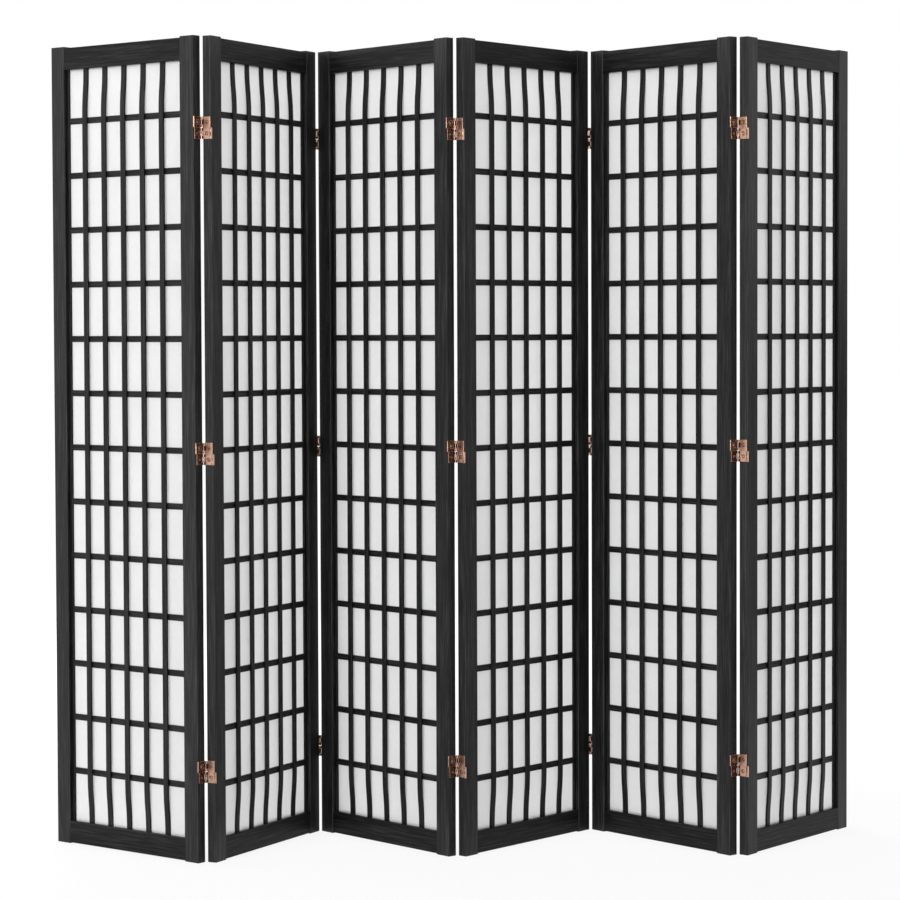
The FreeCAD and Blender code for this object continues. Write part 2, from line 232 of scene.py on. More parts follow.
@dataclass(frozen=True)
class PanelPlace:
    """Where one panel's own frame stands in the row of panels."""

    corner: Array
    along: Array

    @property
    def inward(self) -> Array:
        """Direction from the panel's front to its back, square to its width."""
        return np.array([-self.along[1], self.along[0]])

    @classmethod
    def of_sheet(cls, node: str, sizes: PanelSizes) -> "PanelPlace":
        """Reads the place from the panel's paper, which lies square in the panel.

        The paper's plan is a long thin rectangle. Its longer principal axis is the panel's
        width, and its middle is half a panel along and one paper depth in.

        Args:
            node: Name of the CAD node of the panel's paper.
            sizes: The panel's sizes.

        Returns:
            The panel's place.
        """
        points = mesh_points(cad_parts[node].data)[:, :2]
        plan = np.unique(points.round(5), axis=0)
        centre = (plan.min(0) + plan.max(0)) / 2
        along = np.linalg.svd(plan - plan.mean(0))[2][0]
        along = along * np.sign(along[0])
        inward = cls(centre, along).inward
        return cls(centre - along * sizes.width / 2 - inward * sizes.paper_depth, along)

    def to_row(self, points: Array) -> Array:
        """Moves points from the panel's own frame to the row's: corner + u along + v inward."""
        plan = self.corner + points[:, :1] * self.along + points[:, 1:2] * self.inward
        return np.column_stack([plan, points[:, 2]])

    def from_row(self, points: Array) -> Array:
        """Moves points from the row's frame to the panel's own, by the inverse turn."""
        offset = points[:, :2] - self.corner
        return np.column_stack([offset @ self.along, offset @ self.inward, points[:, 2]])


# ---------------------------------------------------------------- surfaces
@dataclass
class Shell:
    """Surface of quads and end caps, with values kept at each point."""

    points: Array
    quads: Array
    caps: list[Array] = field(default_factory=list)
    values: dict[str, Array] = field(default_factory=dict)

    def moved(self, offset: Array) -> "Shell":
        """The same shell carried by an offset."""
        return Shell(self.points + offset, self.quads, self.caps, self.values)

    def triangles(self) -> Array:
        """All faces cut into triangles, each quad in two and each cap as a fan.

        Returns:
            Array of shape (triangles, 3) of point numbers.
        """
        parts = [self.quads[:, [0, 1, 2]], self.quads[:, [0, 2, 3]]]
        for cap in self.caps:
            first = np.full(len(cap) - 2, cap[0])
            parts.append(np.column_stack([first, cap[1:-1], cap[2:]]))
        return np.vstack(parts)

    def facing_out(self) -> "Shell":
        """The closed shell with its faces outwards.

        Its signed volume, a sixth of the sum of a . (b x c) over its triangles, is positive
        when they point out.

        Returns:
            This shell, turned over if it was inside out.
        """
        a, b, c = (self.points[self.triangles()[:, k]] for k in range(3))
        if np.einsum("ij,ij->i", a, np.cross(b, c)).sum() >= 0:
            return self
        return Shell(self.points, self.quads[:, ::-1], [cap[::-1] for cap in self.caps], self.values)

    @staticmethod
    def joined(shells: list["Shell"]) -> "Shell":
        """Several shells gathered into one, each still closed by itself.

        Args:
            shells: The shells, all with the same values.

        Returns:
            One shell that holds them all.
        """
        starts = np.cumsum([0] + [len(shell.points) for shell in shells])
        quads = np.vstack([shell.quads + start for shell, start in zip(shells, starts)])
        caps = [cap + start for shell, start in zip(shells, starts) for cap in shell.caps]
        names = shells[0].values
        values = {name: np.concatenate([shell.values[name] for shell in shells]) for name in names}
        return Shell(np.vstack([shell.points for shell in shells]), quads, caps, values)


def grid_quads(rows: int, columns: int, close_rows: bool, close_columns: bool) -> Array:
    """Faces of a grid of points.

    Face (i, j) joins points (i, j), (i, j + 1), (i + 1, j + 1) and (i + 1, j), with i or j
    taken round to 0 past the end where that way is closed.

    Args:
        rows: Number of rows of points.
        columns: Number of points in a row.
        close_rows: Whether the last row joins the first.
        close_columns: Whether the last column joins the first.

    Returns:
        Array of shape (faces, 4) of point numbers.
    """
    i, j = np.meshgrid(
        np.arange(rows if close_rows else rows - 1),
        np.arange(columns if close_columns else columns - 1),
        indexing="ij",
    )
    below, right = (i + 1) % rows, (j + 1) % columns
    corners = [i * columns + j, i * columns + right, below * columns + right, below * columns + j]
    return np.stack([corner.ravel() for corner in corners], axis=1)


def rounded_outline(size: Pair, radius: float, support: float, side_points: int = 0) -> tuple[Array, Array]:
    """Outline of a rectangle with rounded corners, anticlockwise.

    Each corner is a quarter circle of three points. On both sides of it, at the support
    distance, a point holds the flat side flat under smooth shading.

    Args:
        size: Width and height.
        radius: Radius of the corners.
        support: Distance from a corner's end to its support point.
        side_points: Number of further points along each side.

    Returns:
        Points of shape (n, 2), and for each point 1 on a corner and 0 on a flat side.
    """
    half = np.array(size) / 2
    signs = np.array([(1, -1), (1, 1), (-1, 1), (-1, -1)])
    starts = np.radians([-90, 0, 90, 180])
    sweep = np.radians([0, 45, 90])
    points, rounds = [], []
    for corner in range(4):
        angle = starts[corner] + sweep
        arc = signs[corner] * (half - radius) + radius * np.column_stack([np.cos(angle), np.sin(angle)])
        before = np.array([-math.sin(angle[0]), math.cos(angle[0])])
        after = np.array([-math.sin(angle[-1]), math.cos(angle[-1])])
        points += [arc[:1] - support * before, arc, arc[-1:] + support * after]
        rounds += [np.zeros(1), np.ones(3), np.zeros(1)]
        if side_points:
            next_sign = signs[(corner + 1) % 4]
            far = next_sign * half - np.abs(after) * next_sign * (radius + support)
            far = np.where(np.abs(after) > 0.5, far, points[-1][0])
            share = np.linspace(0, 1, side_points + 2)[1:-1, None]
            points.append(points[-1] + share * (far - points[-1]))
            rounds.append(np.zeros(side_points))
    return np.vstack(points), np.concatenate(rounds)


def carried(profile: Array, path: Array, across: Array, upward: Array) -> Array:
    """Profile carried along a path.

    Point (i, j) is path[i] + profile[j].x across[i] + profile[j].y upward[i].

    Args:
        profile: Points of shape (m, 2).
        path: Points of shape (n, 3).
        across: Direction of the profile's x, for all path points or for each.
        upward: Direction of the profile's y, in the same way.

    Returns:
        Grid of shape (n, m, 3).
    """
    across, upward = (np.broadcast_to(way, path.shape)[:, None] for way in (across, upward))
    return path[:, None] + profile[None, :, :1] * across + profile[None, :, 1:] * upward


def capped_tube(grid: Array, values: dict[str, Array]) -> Shell:
    """Closed tube from a grid whose rows are loops, with a flat cap at each end.

    Args:
        grid: Points of shape (rows, loop, 3).
        values: Values of shape (rows, loop) or (rows, loop, 3).

    Returns:
        The tube, facing outwards.
    """
    rows, loop = grid.shape[:2]
    caps = [np.arange(loop)[::-1], np.arange(loop) + (rows - 1) * loop]
    flat = {name: value.reshape((rows * loop,) + value.shape[2:]) for name, value in values.items()}
    return Shell(grid.reshape(-1, 3), grid_quads(rows, loop, False, True), caps, flat).facing_out()


def merged_points(points: Array) -> tuple[Array, Array]:
    """Which points to keep when those within the weld distance become one.

    Args:
        points: Points of shape (n, 3).

    Returns:
        Numbers of the points to keep, and for each old point its place among the kept.
    """
    key = np.round(points / WELD_DISTANCE).astype(np.int64)
    _, first, number = np.unique(key, axis=0, return_index=True, return_inverse=True)
    return first, number.ravel()


def set_values(mesh: bpy.types.Mesh, values: dict[str, Array]) -> None:
    """Stores values at a mesh's points, as numbers or as vectors.

    Args:
        mesh: The mesh to write to.
        values: Attribute name to an array of shape (points,) or (points, 3).
    """
    for name, value in values.items():
        is_vector = value.ndim == 2
        made = mesh.attributes.new(name, "FLOAT_VECTOR" if is_vector else "FLOAT", "POINT")
        key = "vector" if is_vector else "value"
        made.data.foreach_set(key, np.ascontiguousarray(value, np.float32).ravel())


def make_mesh(name: str, shell: Shell) -> bpy.types.Mesh:
    """Mesh of a shell, smooth except where faces meet at a sharp angle.

    Args:
        name: Name of the mesh.
        shell: The surface, in the row's frame.

    Returns:
        The new mesh.
    """
    corners = np.concatenate([shell.quads.ravel(), *shell.caps]).astype(np.int32)
    counts = np.array([4] * len(shell.quads) + [len(cap) for cap in shell.caps])
    mesh = bpy.data.meshes.new(name)
    mesh.vertices.add(len(shell.points))
    mesh.vertices.foreach_set("co", shell.points.astype(np.float32).ravel())
    mesh.loops.add(len(corners))
    mesh.loops.foreach_set("vertex_index", corners)
    mesh.polygons.add(len(counts))
    mesh.polygons.foreach_set("loop_start", (np.cumsum(counts) - counts).astype(np.int32))
    mesh.update(calc_edges=True)
    mesh.shade_smooth()
    mesh.set_sharp_from_angle(angle=SHARP_ANGLE)
    set_values(mesh, shell.values)
    return mesh


def make_piece(name: str, mesh: bpy.types.Mesh, finish: bpy.types.Material) -> bpy.types.Object:
    """Object that shows a mesh in a finish, standing at the origin.

    Args:
        name: Name of the piece.
        mesh: The piece's mesh, with its place in its points.
        finish: The piece's material.

    Returns:
        The new object.
    """
    piece = bpy.data.objects.new(name, mesh)
    bpy.context.scene.collection.objects.link(piece)
    mesh.materials.clear()
    mesh.materials.append(finish)
    return piece


# ---------------------------------------------------------------- shader expressions
@dataclass(frozen=True)
class Pattern:
    """A noise pattern: cells in a metre along each axis, and its detail and their roughness."""

    stretch: Triple
    detail: float
    roughness: float


class Socket:
    """A value in a shader, on which arithmetic adds Math nodes."""

    def __init__(self, tree: "ShaderTree", socket: bpy.types.NodeSocket) -> None:
        """Wraps a node's output socket."""
        self.tree = tree
        self.socket = socket

    def __add__(self, other: Any) -> "Socket":
        """Sum."""
        return self.tree.math("ADD", self, other)

    def __radd__(self, other: Any) -> "Socket":
        """Sum, with the number first."""
        return self.tree.math("ADD", other, self)

    def __sub__(self, other: Any) -> "Socket":
        """Difference."""
        return self.tree.math("SUBTRACT", self, other)

    def __rsub__(self, other: Any) -> "Socket":
        """Difference, with the number first."""
        return self.tree.math("SUBTRACT", other, self)

    def __mul__(self, other: Any) -> "Socket":
        """Product."""
        return self.tree.math("MULTIPLY", self, other)

    def __rmul__(self, other: Any) -> "Socket":
        """Product, with the number first."""
        return self.tree.math("MULTIPLY", other, self)

    def __abs__(self) -> "Socket":
        """Size without sign."""
        return self.tree.math("ABSOLUTE", self)

    def swing(self) -> "Socket":
        """The value less a half, for a pattern that swings about a half."""
        return self - 0.5

    def ramp(self, low: float, high: float) -> "Socket":
        """Smooth step.

        Args:
            low: Value at and below which the step is 0.
            high: Value at and above which it is 1.

        Returns:
            The step.
        """
        settings = {"interpolation_type": "SMOOTHSTEP", "clamp": True}
        values = {"Value": self, "From Min": low, "From Max": high}
        return self.tree.node("ShaderNodeMapRange", settings, values)["Result"]


class ShaderNode:
    """A node that has been added, whose outputs are read by name."""

    def __init__(self, tree: "ShaderTree", node: bpy.types.Node) -> None:
        """Wraps a node."""
        self.tree = tree
        self.node = node

    def __getitem__(self, output: str | int) -> Socket:
        """The named output, or the output at an index, for use in expressions."""
        return Socket(self.tree, self.node.outputs[output])


class ShaderTree:
    """Node tree of one finish, or of the world."""

    def __init__(self, owner: bpy.types.ID) -> None:
        """Empties the tree of a new material or world."""
        owner.use_nodes = True
        self.owner = owner
        self.tree = owner.node_tree
        self.tree.nodes.clear()

    def node(self, kind: str, settings: dict[str, Any], values: dict[str | int, Any]) -> ShaderNode:
        """Adds a node.

        Args:
            kind: Blender's type of the node.
            settings: Properties, set first.
            values: Socket name or index to a number, a colour, a Socket or a ShaderNode.

        Returns:
            The node.
        """
        made = self.tree.nodes.new(kind)
        for name, value in settings.items():
            setattr(made, name, value)
        for name, value in values.items():
            if isinstance(value, ShaderNode):
                value = value[0]
            if isinstance(value, Socket):
                self.tree.links.new(value.socket, made.inputs[name])
            else:
                made.inputs[name].default_value = value
        return ShaderNode(self, made)

    def math(self, operation: str, *values: Any) -> Socket:
        """Result of a Math node."""
        return self.node("ShaderNodeMath", {"operation": operation}, dict(enumerate(values)))["Value"]

    def attribute(self, name: str) -> ShaderNode:
        """Reads a value that the mesh keeps at its points."""
        return self.node("ShaderNodeAttribute", {"attribute_name": name}, {})

    def noise(self, vector: Socket, pattern: Pattern, turn: float = 0.0) -> Socket:
        """Noise that swings about a half.

        Args:
            vector: Coordinates, in metres.
            pattern: The pattern's stretch, detail and roughness.
            turn: Turn of the coordinates about their third axis before the stretch, in radians.

        Returns:
            The noise.
        """
        if turn:
            vector = self.node("ShaderNodeMapping", {}, {"Vector": vector, "Rotation": (0, 0, turn)})[0]
        stretch = {0: vector, 1: pattern.stretch}
        placed = self.node("ShaderNodeVectorMath", {"operation": "MULTIPLY"}, stretch)["Vector"]
        values = {"Vector": placed, "Scale": 1.0, "Detail": pattern.detail, "Roughness": pattern.roughness}
        return self.node("ShaderNodeTexNoise", {}, values)[0]

    def mix(self, factor: Any, first: Any, second: Any) -> Socket:
        """Colour between first and second, each a Socket or a plain colour."""
        ends = [end if isinstance(end, Socket) else (*end, 1.0) for end in (first, second)]
        return self.node("ShaderNodeMix", {"data_type": "RGBA"}, {0: factor, 6: ends[0], 7: ends[1]})[2]

    def bump(self, height: Socket, relief: Pair) -> Socket:
        """Normal of a surface raised by a pattern, with the relief's strength and distance."""
        values = {"Strength": relief[0], "Distance": relief[1], "Height": height}
        return self.node("ShaderNodeBump", {}, values)["Normal"]

    def diffuse(self, colour: Triple) -> ShaderNode:
        """Plain matt shader."""
        return self.node("ShaderNodeBsdfDiffuse", {}, {"Color": (*colour, 1.0)})

    def seen_mask(self) -> Socket:
        """Tells what is seen from what only lights the scene.

        Returns:
            1 for camera, glossy and transmission rays, 0 for the rest.
        """
        path = self.node("ShaderNodeLightPath", {}, {})
        seen = self.math("MAXIMUM", path["Is Camera Ray"], path["Is Glossy Ray"])
        return self.math("MAXIMUM", seen, path["Is Transmission Ray"])

    def finish(self, shader: ShaderNode, output: str = "ShaderNodeOutputMaterial") -> bpy.types.ID:
        """Joins a shader to the output and returns the material or world."""
        self.node(output, {}, {"Surface": shader})
        return self.owner


# ---------------------------------------------------------------- finishes
@dataclass(frozen=True)
class StainedWood:
    """Black-stained softwood with open grain, on sticks that keep grain and bar values."""

    name: str
    stain: Triple = (0.0014, 0.0014, 0.0014)
    worn: Triple = (0.045, 0.045, 0.045)
    roughness: float = 0.45
    shine: float = 0.30
    fibre: Pattern = Pattern((620, 620, 16), 5.0, 0.62)
    streak: Pattern = Pattern((290, 290, 8), 4.0, 0.65)
    figure: Pattern = Pattern((42, 42, 1.3), 2.0, 0.4)
    pore: Pattern = Pattern((1900, 1900, 45), 2.0, 0.5)
    pore_range: Pair = (0.58, 0.72)
    rubbed_corner: Pair = (0.90, 1.0)
    rubbed_streak: Pair = (0.42, 0.62)
    light_range: Pair = (-0.05, 1.05)
    light: float = 0.20
    fibre_light: float = 1.7
    streak_light: float = 2.3
    figure_light: float = 0.35
    tone_light: float = 0.06
    rubbed_light: float = 0.30
    pore_shade: float = 0.15
    fibre_height: float = 0.6
    streak_height: float = 0.4
    pore_depth: float = 0.5
    fibre_rough: float = 0.22
    pore_rough: float = 0.12
    streak_polish: float = 0.1
    relief: Pair = (0.35, 0.0003)

    def build(self) -> bpy.types.Material:
        """Makes the finish.

        Fibres, streaks and a broad figure lighten the stain, worn corners lighten it more, and
        open pores darken it. The same patterns raise the surface and vary its polish.

        Returns:
            The material.
        """
        tree = ShaderTree(bpy.data.materials.new(self.name))
        grain = tree.attribute("grain")["Vector"]
        bar = tree.node("ShaderNodeSeparateXYZ", {}, {0: tree.attribute("bar")["Vector"]})
        fibre, streak, figure = (tree.noise(grain, one) for one in (self.fibre, self.streak, self.figure))
        pores = tree.noise(grain, self.pore).ramp(*self.pore_range)
        corner = tree.math("MINIMUM", abs(bar["X"]), abs(bar["Y"]))
        brightened = corner.ramp(*self.rubbed_corner) * streak.ramp(*self.rubbed_streak)
        light = self.light + fibre.swing() * self.fibre_light + streak.swing() * self.streak_light
        light = light + figure.swing() * self.figure_light + tree.attribute("tone")["Fac"] * self.tone_light
        light = light + brightened * self.rubbed_light - pores * self.pore_shade
        rough = self.roughness + fibre.swing() * self.fibre_rough + pores * self.pore_rough
        height = fibre * self.fibre_height + streak * self.streak_height - pores * self.pore_depth
        values = {
            "Base Color": tree.mix(light.ramp(*self.light_range), self.stain, self.worn),
            "Roughness": rough - streak.swing() * self.streak_polish,
            "Specular IOR Level": self.shine,
            "Normal": tree.bump(height, self.relief),
        }
        return tree.finish(tree.node("ShaderNodeBsdfPrincipled", {}, values))


@dataclass(frozen=True)
class ShojiPaper:
    """White fibre paper that lets light through, on a sheet that keeps its own coordinates."""

    name: str
    white: Triple = (0.90, 0.90, 0.90)
    clouded: Triple = (0.87, 0.87, 0.87)
    translucency: float = 0.60
    roughness: float = 0.75
    shine: float = 0.12
    cloud: Pattern = Pattern((26, 26, 1), 4.0, 0.6)
    pulp: Pattern = Pattern((420, 420, 1), 4.0, 0.7)
    strand: Pattern = Pattern((1500, 70, 1), 2.0, 0.4)
    strand_range: Pair = (0.60, 0.74)
    strand_turns: Triple = (0.25, 1.45, -0.75)
    density: float = 0.42
    cloud_density: float = 1.1
    pulp_density: float = 0.9
    strand_density: float = 0.55
    pulp_height: float = 0.5
    strand_height: float = 0.8
    relief: Pair = (0.25, 0.00008)

    def bare(self, tree: ShaderTree, sheet: Socket, turn: float) -> Socket:
        """0 on the sparse long strands that lie one way across the sheet, and 1 off them."""
        return 1 - tree.noise(sheet, self.strand, turn).ramp(*self.strand_range)

    def build(self) -> bpy.types.Material:
        """Makes the finish.

        Clouds and pulp make the sheet denser and thinner, and strands that lie three ways
        stand out of it.

        Returns:
            The material.
        """
        tree = ShaderTree(bpy.data.materials.new(self.name))
        sheet = tree.attribute("sheet")["Vector"]
        cloud = tree.noise(sheet, self.cloud)
        pulp = tree.noise(sheet, self.pulp)
        first, second, third = (self.bare(tree, sheet, turn) for turn in self.strand_turns)
        strands = 1 - first * second * third
        depth = cloud.swing() * self.cloud_density + pulp.swing() * self.pulp_density
        depth = depth - strands * self.strand_density + self.density
        colour = tree.mix(depth.ramp(0.0, 1.0), self.white, self.clouded)
        normal = tree.bump(pulp * self.pulp_height + strands * self.strand_height, self.relief)
        values = {
            "Base Color": colour,
            "Roughness": self.roughness,
            "Specular IOR Level": self.shine,
            "Normal": normal,
        }
        front = tree.node("ShaderNodeBsdfPrincipled", {}, values)
        through = tree.node("ShaderNodeBsdfTranslucent", {}, {"Color": colour, "Normal": normal})
        both = {0: self.translucency, 1: front, 2: through}
        return tree.finish(tree.node("ShaderNodeMixShader", {}, both))


@dataclass(frozen=True)
class AgedCopper:
    """Copper-plated metal, bright where its wear value is high and brown where it is low. The wear value is
    partly real rubbing and patina, and partly painted highlight on edges and eyes and painted shade in holes,
    recesses and on the plates of one side.
    """

    name: str
    bright: Triple = (0.76, 0.555, 0.445)
    plate: Triple = (0.50, 0.302, 0.222)
    # Dark brown of patina, also used as painted shade in holes, recesses and on the plates of one side.
    tarnish_and_shade: Triple = (0.050, 0.022, 0.014)
    roughness: float = 0.28
    blotch: Pattern = Pattern((210, 210, 210), 4.0, 0.6)
    speck: Pattern = Pattern((1400, 1400, 1400), 3.0, 0.6)
    brush: Pattern = Pattern((2600, 2600, 160), 2.0, 0.5)
    bright_shares: Triple = (0.75, 0.7, 0.3)
    bright_range: Pair = (0.35, 0.95)
    brown_shares: Triple = (2.0, 0.9, 0.8)
    brown_range: Pair = (0.05, 0.75)
    brown_rough: float = 0.25
    speck_rough: float = 0.12
    bright_polish: float = 0.08
    brush_height: float = 0.4
    speck_height: float = 0.6
    relief: Pair = (0.22, 0.00006)

    def build(self) -> bpy.types.Material:
        """Makes the finish.

        The plate turns bright by its wear value, blotches and brushing, and brown by its blotches, specks and
        a low wear value, each in its share. So the bright mix carries painted highlights and the brown mix
        carries painted shade, beside real rubbing and patina.

        Returns:
            The material.
        """
        tree = ShaderTree(bpy.data.materials.new(self.name))
        place = tree.node("ShaderNodeTexCoord", {}, {})["Object"]
        wear = tree.attribute("wear")["Fac"]
        blotch, speck, brush = (tree.noise(place, one) for one in (self.blotch, self.speck, self.brush))
        # Bright mix: real rubbing from blotches and brushing, plus painted highlight, partly rubbing, from
        # the wear value.
        by_wear_and_shading, by_blotch, by_brush = self.bright_shares
        brightened = wear * by_wear_and_shading + blotch.swing() * by_blotch + brush.swing() * by_brush
        brightened = brightened.ramp(*self.bright_range)
        # Brown mix: patina from blotches and specks, plus painted shade, partly patina, where the wear value
        # is low.
        by_blotch, by_speck, by_wear_and_shading = self.brown_shares
        brown = (0.5 - blotch) * by_blotch + (0.5 - speck) * by_speck - wear * by_wear_and_shading
        brown = brown.ramp(*self.brown_range)
        rough = self.roughness + brown * self.brown_rough + speck.swing() * self.speck_rough
        height = brush * self.brush_height + speck * self.speck_height
        values = {
            "Base Color": tree.mix(brightened, tree.mix(brown, self.plate, self.tarnish_and_shade), self.bright),
            "Metallic": 1.0,
            "Roughness": rough - brightened * self.bright_polish,
            "Normal": tree.bump(height, self.relief),
        }
        return tree.finish(tree.node("ShaderNodeBsdfPrincipled", {}, values))


@dataclass(frozen=True)
class StudioFloor:
    """Pale floor that the camera sees as white, with the object's soft shadow on it."""

    name: str = "studio_floor_paint"
    lit: Triple = (0.75, 0.75, 0.75)
    seen: Triple = (0.16, 0.16, 0.16)
    glow: Pair = (0.86, 1.0)
    fade: Pair = (0.8, 3.0)

    def build(self) -> bpy.types.Material:
        """Makes the finish.

        Light that falls on the scene meets plain paint. The camera sees a darker paint with a
        glow over it, which is weakest at the middle so that the shadow stays.

        Returns:
            The material.
        """
        tree = ShaderTree(bpy.data.materials.new(self.name))
        place = tree.node("ShaderNodeTexCoord", {}, {})["Object"]
        distance = tree.node("ShaderNodeVectorMath", {"operation": "LENGTH"}, {0: place})["Value"]
        strength = self.glow[0] + (self.glow[1] - self.glow[0]) * distance.ramp(*self.fade)
        glow = tree.node("ShaderNodeEmission", {}, {"Strength": strength})
        white = tree.node("ShaderNodeAddShader", {}, {0: tree.diffuse(self.seen), 1: glow})
        values = {0: tree.seen_mask(), 1: tree.diffuse(self.lit), 2: white}
        return tree.finish(tree.node("ShaderNodeMixShader", {}, values))


@dataclass(frozen=True)
class DarkCard:
    """Matt dark card used to shade a studio."""

    name: str = "studio_dark_card"
    colour: Triple = (0.02, 0.02, 0.02)

    def build(self) -> bpy.types.Material:
        """Makes the finish."""
        tree = ShaderTree(bpy.data.materials.new(self.name))
        return tree.finish(tree.diffuse(self.colour))


@dataclass(frozen=True)
class Finishes:
    """The finishes of the screen."""

    stile_wood: bpy.types.Material
    rail_wood: bpy.types.Material
    slat_wood: bpy.types.Material
    paper: bpy.types.Material
    hinge: bpy.types.Material
    screw: bpy.types.Material

    @classmethod
    def build(cls) -> "Finishes":
        """Makes every finish once.

        Returns:
            The finishes.
        """
        kinds = {
            "stile_wood": StainedWood("stained_stile_wood"),
            "rail_wood": StainedWood("stained_rail_wood", worn=(0.033,) * 3, shine=0.15),
            "slat_wood": StainedWood("stained_slat_wood", stain=(0.0010,) * 3, worn=(0.034,) * 3, shine=0.22),
            "paper": ShojiPaper("shoji_paper"),
            "hinge": AgedCopper("aged_copper_hinge"),
            "screw": AgedCopper("aged_copper_screw", plate=(0.52, 0.32, 0.24), roughness=0.24),
        }
        return cls(**{key: kind.build() for key, kind in kinds.items()})


# ---------------------------------------------------------------- parts of a panel
def stick_values(offset: Array, size: Array, rng: np.random.Generator) -> dict[str, Array]:
    """Values that the wood finish reads on one stick.

    grain is the offset plus one random shift for the stick, so that no two sticks share a
    figure. bar is the offset divided by half the stick's size. tone is one random number
    from -1 to 1.

    Args:
        offset: Points as (across, depth, along) from the stick's middle.
        size: The stick's full size in the same order.
        rng: Source of the random shift and tone.

    Returns:
        grain, bar and tone at each point.
    """
    return {
        "grain": offset + rng.uniform(0, PATTERN_SHIFT, 3),
        "bar": offset / (size / 2),
        "tone": np.full(len(offset), rng.uniform(-1, 1)),
    }


@dataclass
class PanelPart:
    """A sub-assembly of one panel, described in the panel's own frame."""

    number: int
    sizes: PanelSizes
    place: PanelPlace

    def named(self, word: str) -> str:
        """Name of one of the panel's pieces or nodes."""
        return f"panel_{self.number}_{word}"

    def piece(
        self, word: str, shells: list[Shell], finish: bpy.types.Material, node: str
    ) -> bpy.types.Object:
        """Makes one piece of shells and sets it in the place of its CAD node.

        Args:
            word: What the piece is, for its name.
            shells: The surfaces in it, in the panel's frame.
            finish: The piece's material.
            node: What the CAD node is, for its name.

        Returns:
            The piece.
        """
        shell = Shell.joined(shells)
        shell.points = self.place.to_row(shell.points)
        piece = make_piece(self.named(word), make_mesh(self.named(word), shell), finish)
        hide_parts(self.named(node))
        return piece


@dataclass
class PanelFrame(PanelPart):
    """Stiles and rails of one panel: the CAD joinery with its arrises rounded over."""

    arris: float = 0.00035
    arris_steps: int = 2
    arris_angle: float = math.radians(30)
    flat_angle: float = math.radians(0.5)
    shading_weight: int = 90

    def welded(self, node: str) -> bpy.types.Mesh:
        """Copy of a CAD node with its loose triangles merged into flat faces.

        Args:
            node: Name of the CAD node.

        Returns:
            The new mesh, in the row's frame.
        """
        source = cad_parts[node].data
        corners = np.empty(len(source.loops), np.int32)
        source.loops.foreach_get("vertex_index", corners)
        points = mesh_points(source)
        first, number = merged_points(points)
        mesh = bpy.data.meshes.new(node + "_welded")
        mesh.from_pydata(points[first], [], number[corners].reshape(-1, 3))
        flat = bmesh.new()
        flat.from_mesh(mesh)
        bmesh.ops.dissolve_limit(flat, angle_limit=self.flat_angle, verts=flat.verts[:], edges=flat.edges[:])
        flat.to_mesh(mesh)
        flat.free()
        return mesh

    def dressed(
        self, word: str, node: str, middles: Array, size: Array, finish: bpy.types.Material,
        rng: np.random.Generator,
    ) -> bpy.types.Object:
        """Welded copy of a CAD node of equal sticks, rounded and finished.

        Args:
            word: What the piece is, for its name.
            node: What the CAD node is, for its name.
            middles: Middle of each stick. A point belongs to the stick nearest in height.
            size: Full size of each stick. Its grain runs along its longest side.
            finish: The wood finish.
            rng: Source of each stick's grain.

        Returns:
            The piece.
        """
        mesh = self.welded(self.named(node))
        own = self.place.from_row(mesh_points(mesh))
        order = [0, 1, 2] if size[2] > size[0] else [2, 1, 0]
        found = [stick_values((own - middle)[:, order], size[order], rng) for middle in middles]
        nearest = np.abs(own[:, 2:] - middles[:, 2]).argmin(1)
        each = np.arange(len(own))
        set_values(mesh, {key: np.stack([one[key] for one in found])[nearest, each] for key in found[0]})
        mesh.shade_smooth()
        piece = make_piece(self.named(word), mesh, finish)
        arrises = piece.modifiers.new("arrises", "BEVEL")
        arrises.width = self.arris
        arrises.segments = self.arris_steps
        arrises.limit_method = "ANGLE"
        arrises.angle_limit = self.arris_angle
        piece.modifiers.new("even_shading", "WEIGHTED_NORMAL").weight = self.shading_weight
        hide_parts(self.named(node))
        return piece

    def build(self, finishes: Finishes, rng: np.random.Generator) -> list[bpy.types.Object]:
        """Makes the two stiles and the pair of rails.

        Args:
            finishes: The screen's finishes.
            rng: Source of each stick's grain.

        Returns:
            The three pieces.
        """
        size = self.sizes
        depth = size.thickness / 2
        half_stile = size.stile_width / 2
        half_rail = size.rail_width / 2
        stile = np.array([size.stile_width, size.thickness, size.height])
        rail_length = size.width - 2 * size.stile_width
        rail = np.array([rail_length, size.thickness - 2 * size.rail_inset, size.rail_width])
        pieces = []
        for word, u in (("left", half_stile), ("right", size.width - half_stile)):
            middle = np.array([[u, depth, size.height / 2]])
            names = (f"stile_{word}", f"{word}_stile")
            pieces.append(self.dressed(*names, middle, stile, finishes.stile_wood, rng))
        levels = (size.opening_z[0] - half_rail, size.opening_z[1] + half_rail)
        middles = np.array([(size.width / 2, depth, level) for level in levels])
        pieces.append(self.dressed("rail_pair", "rails", middles, rail, finishes.rail_wood, rng))
        return pieces


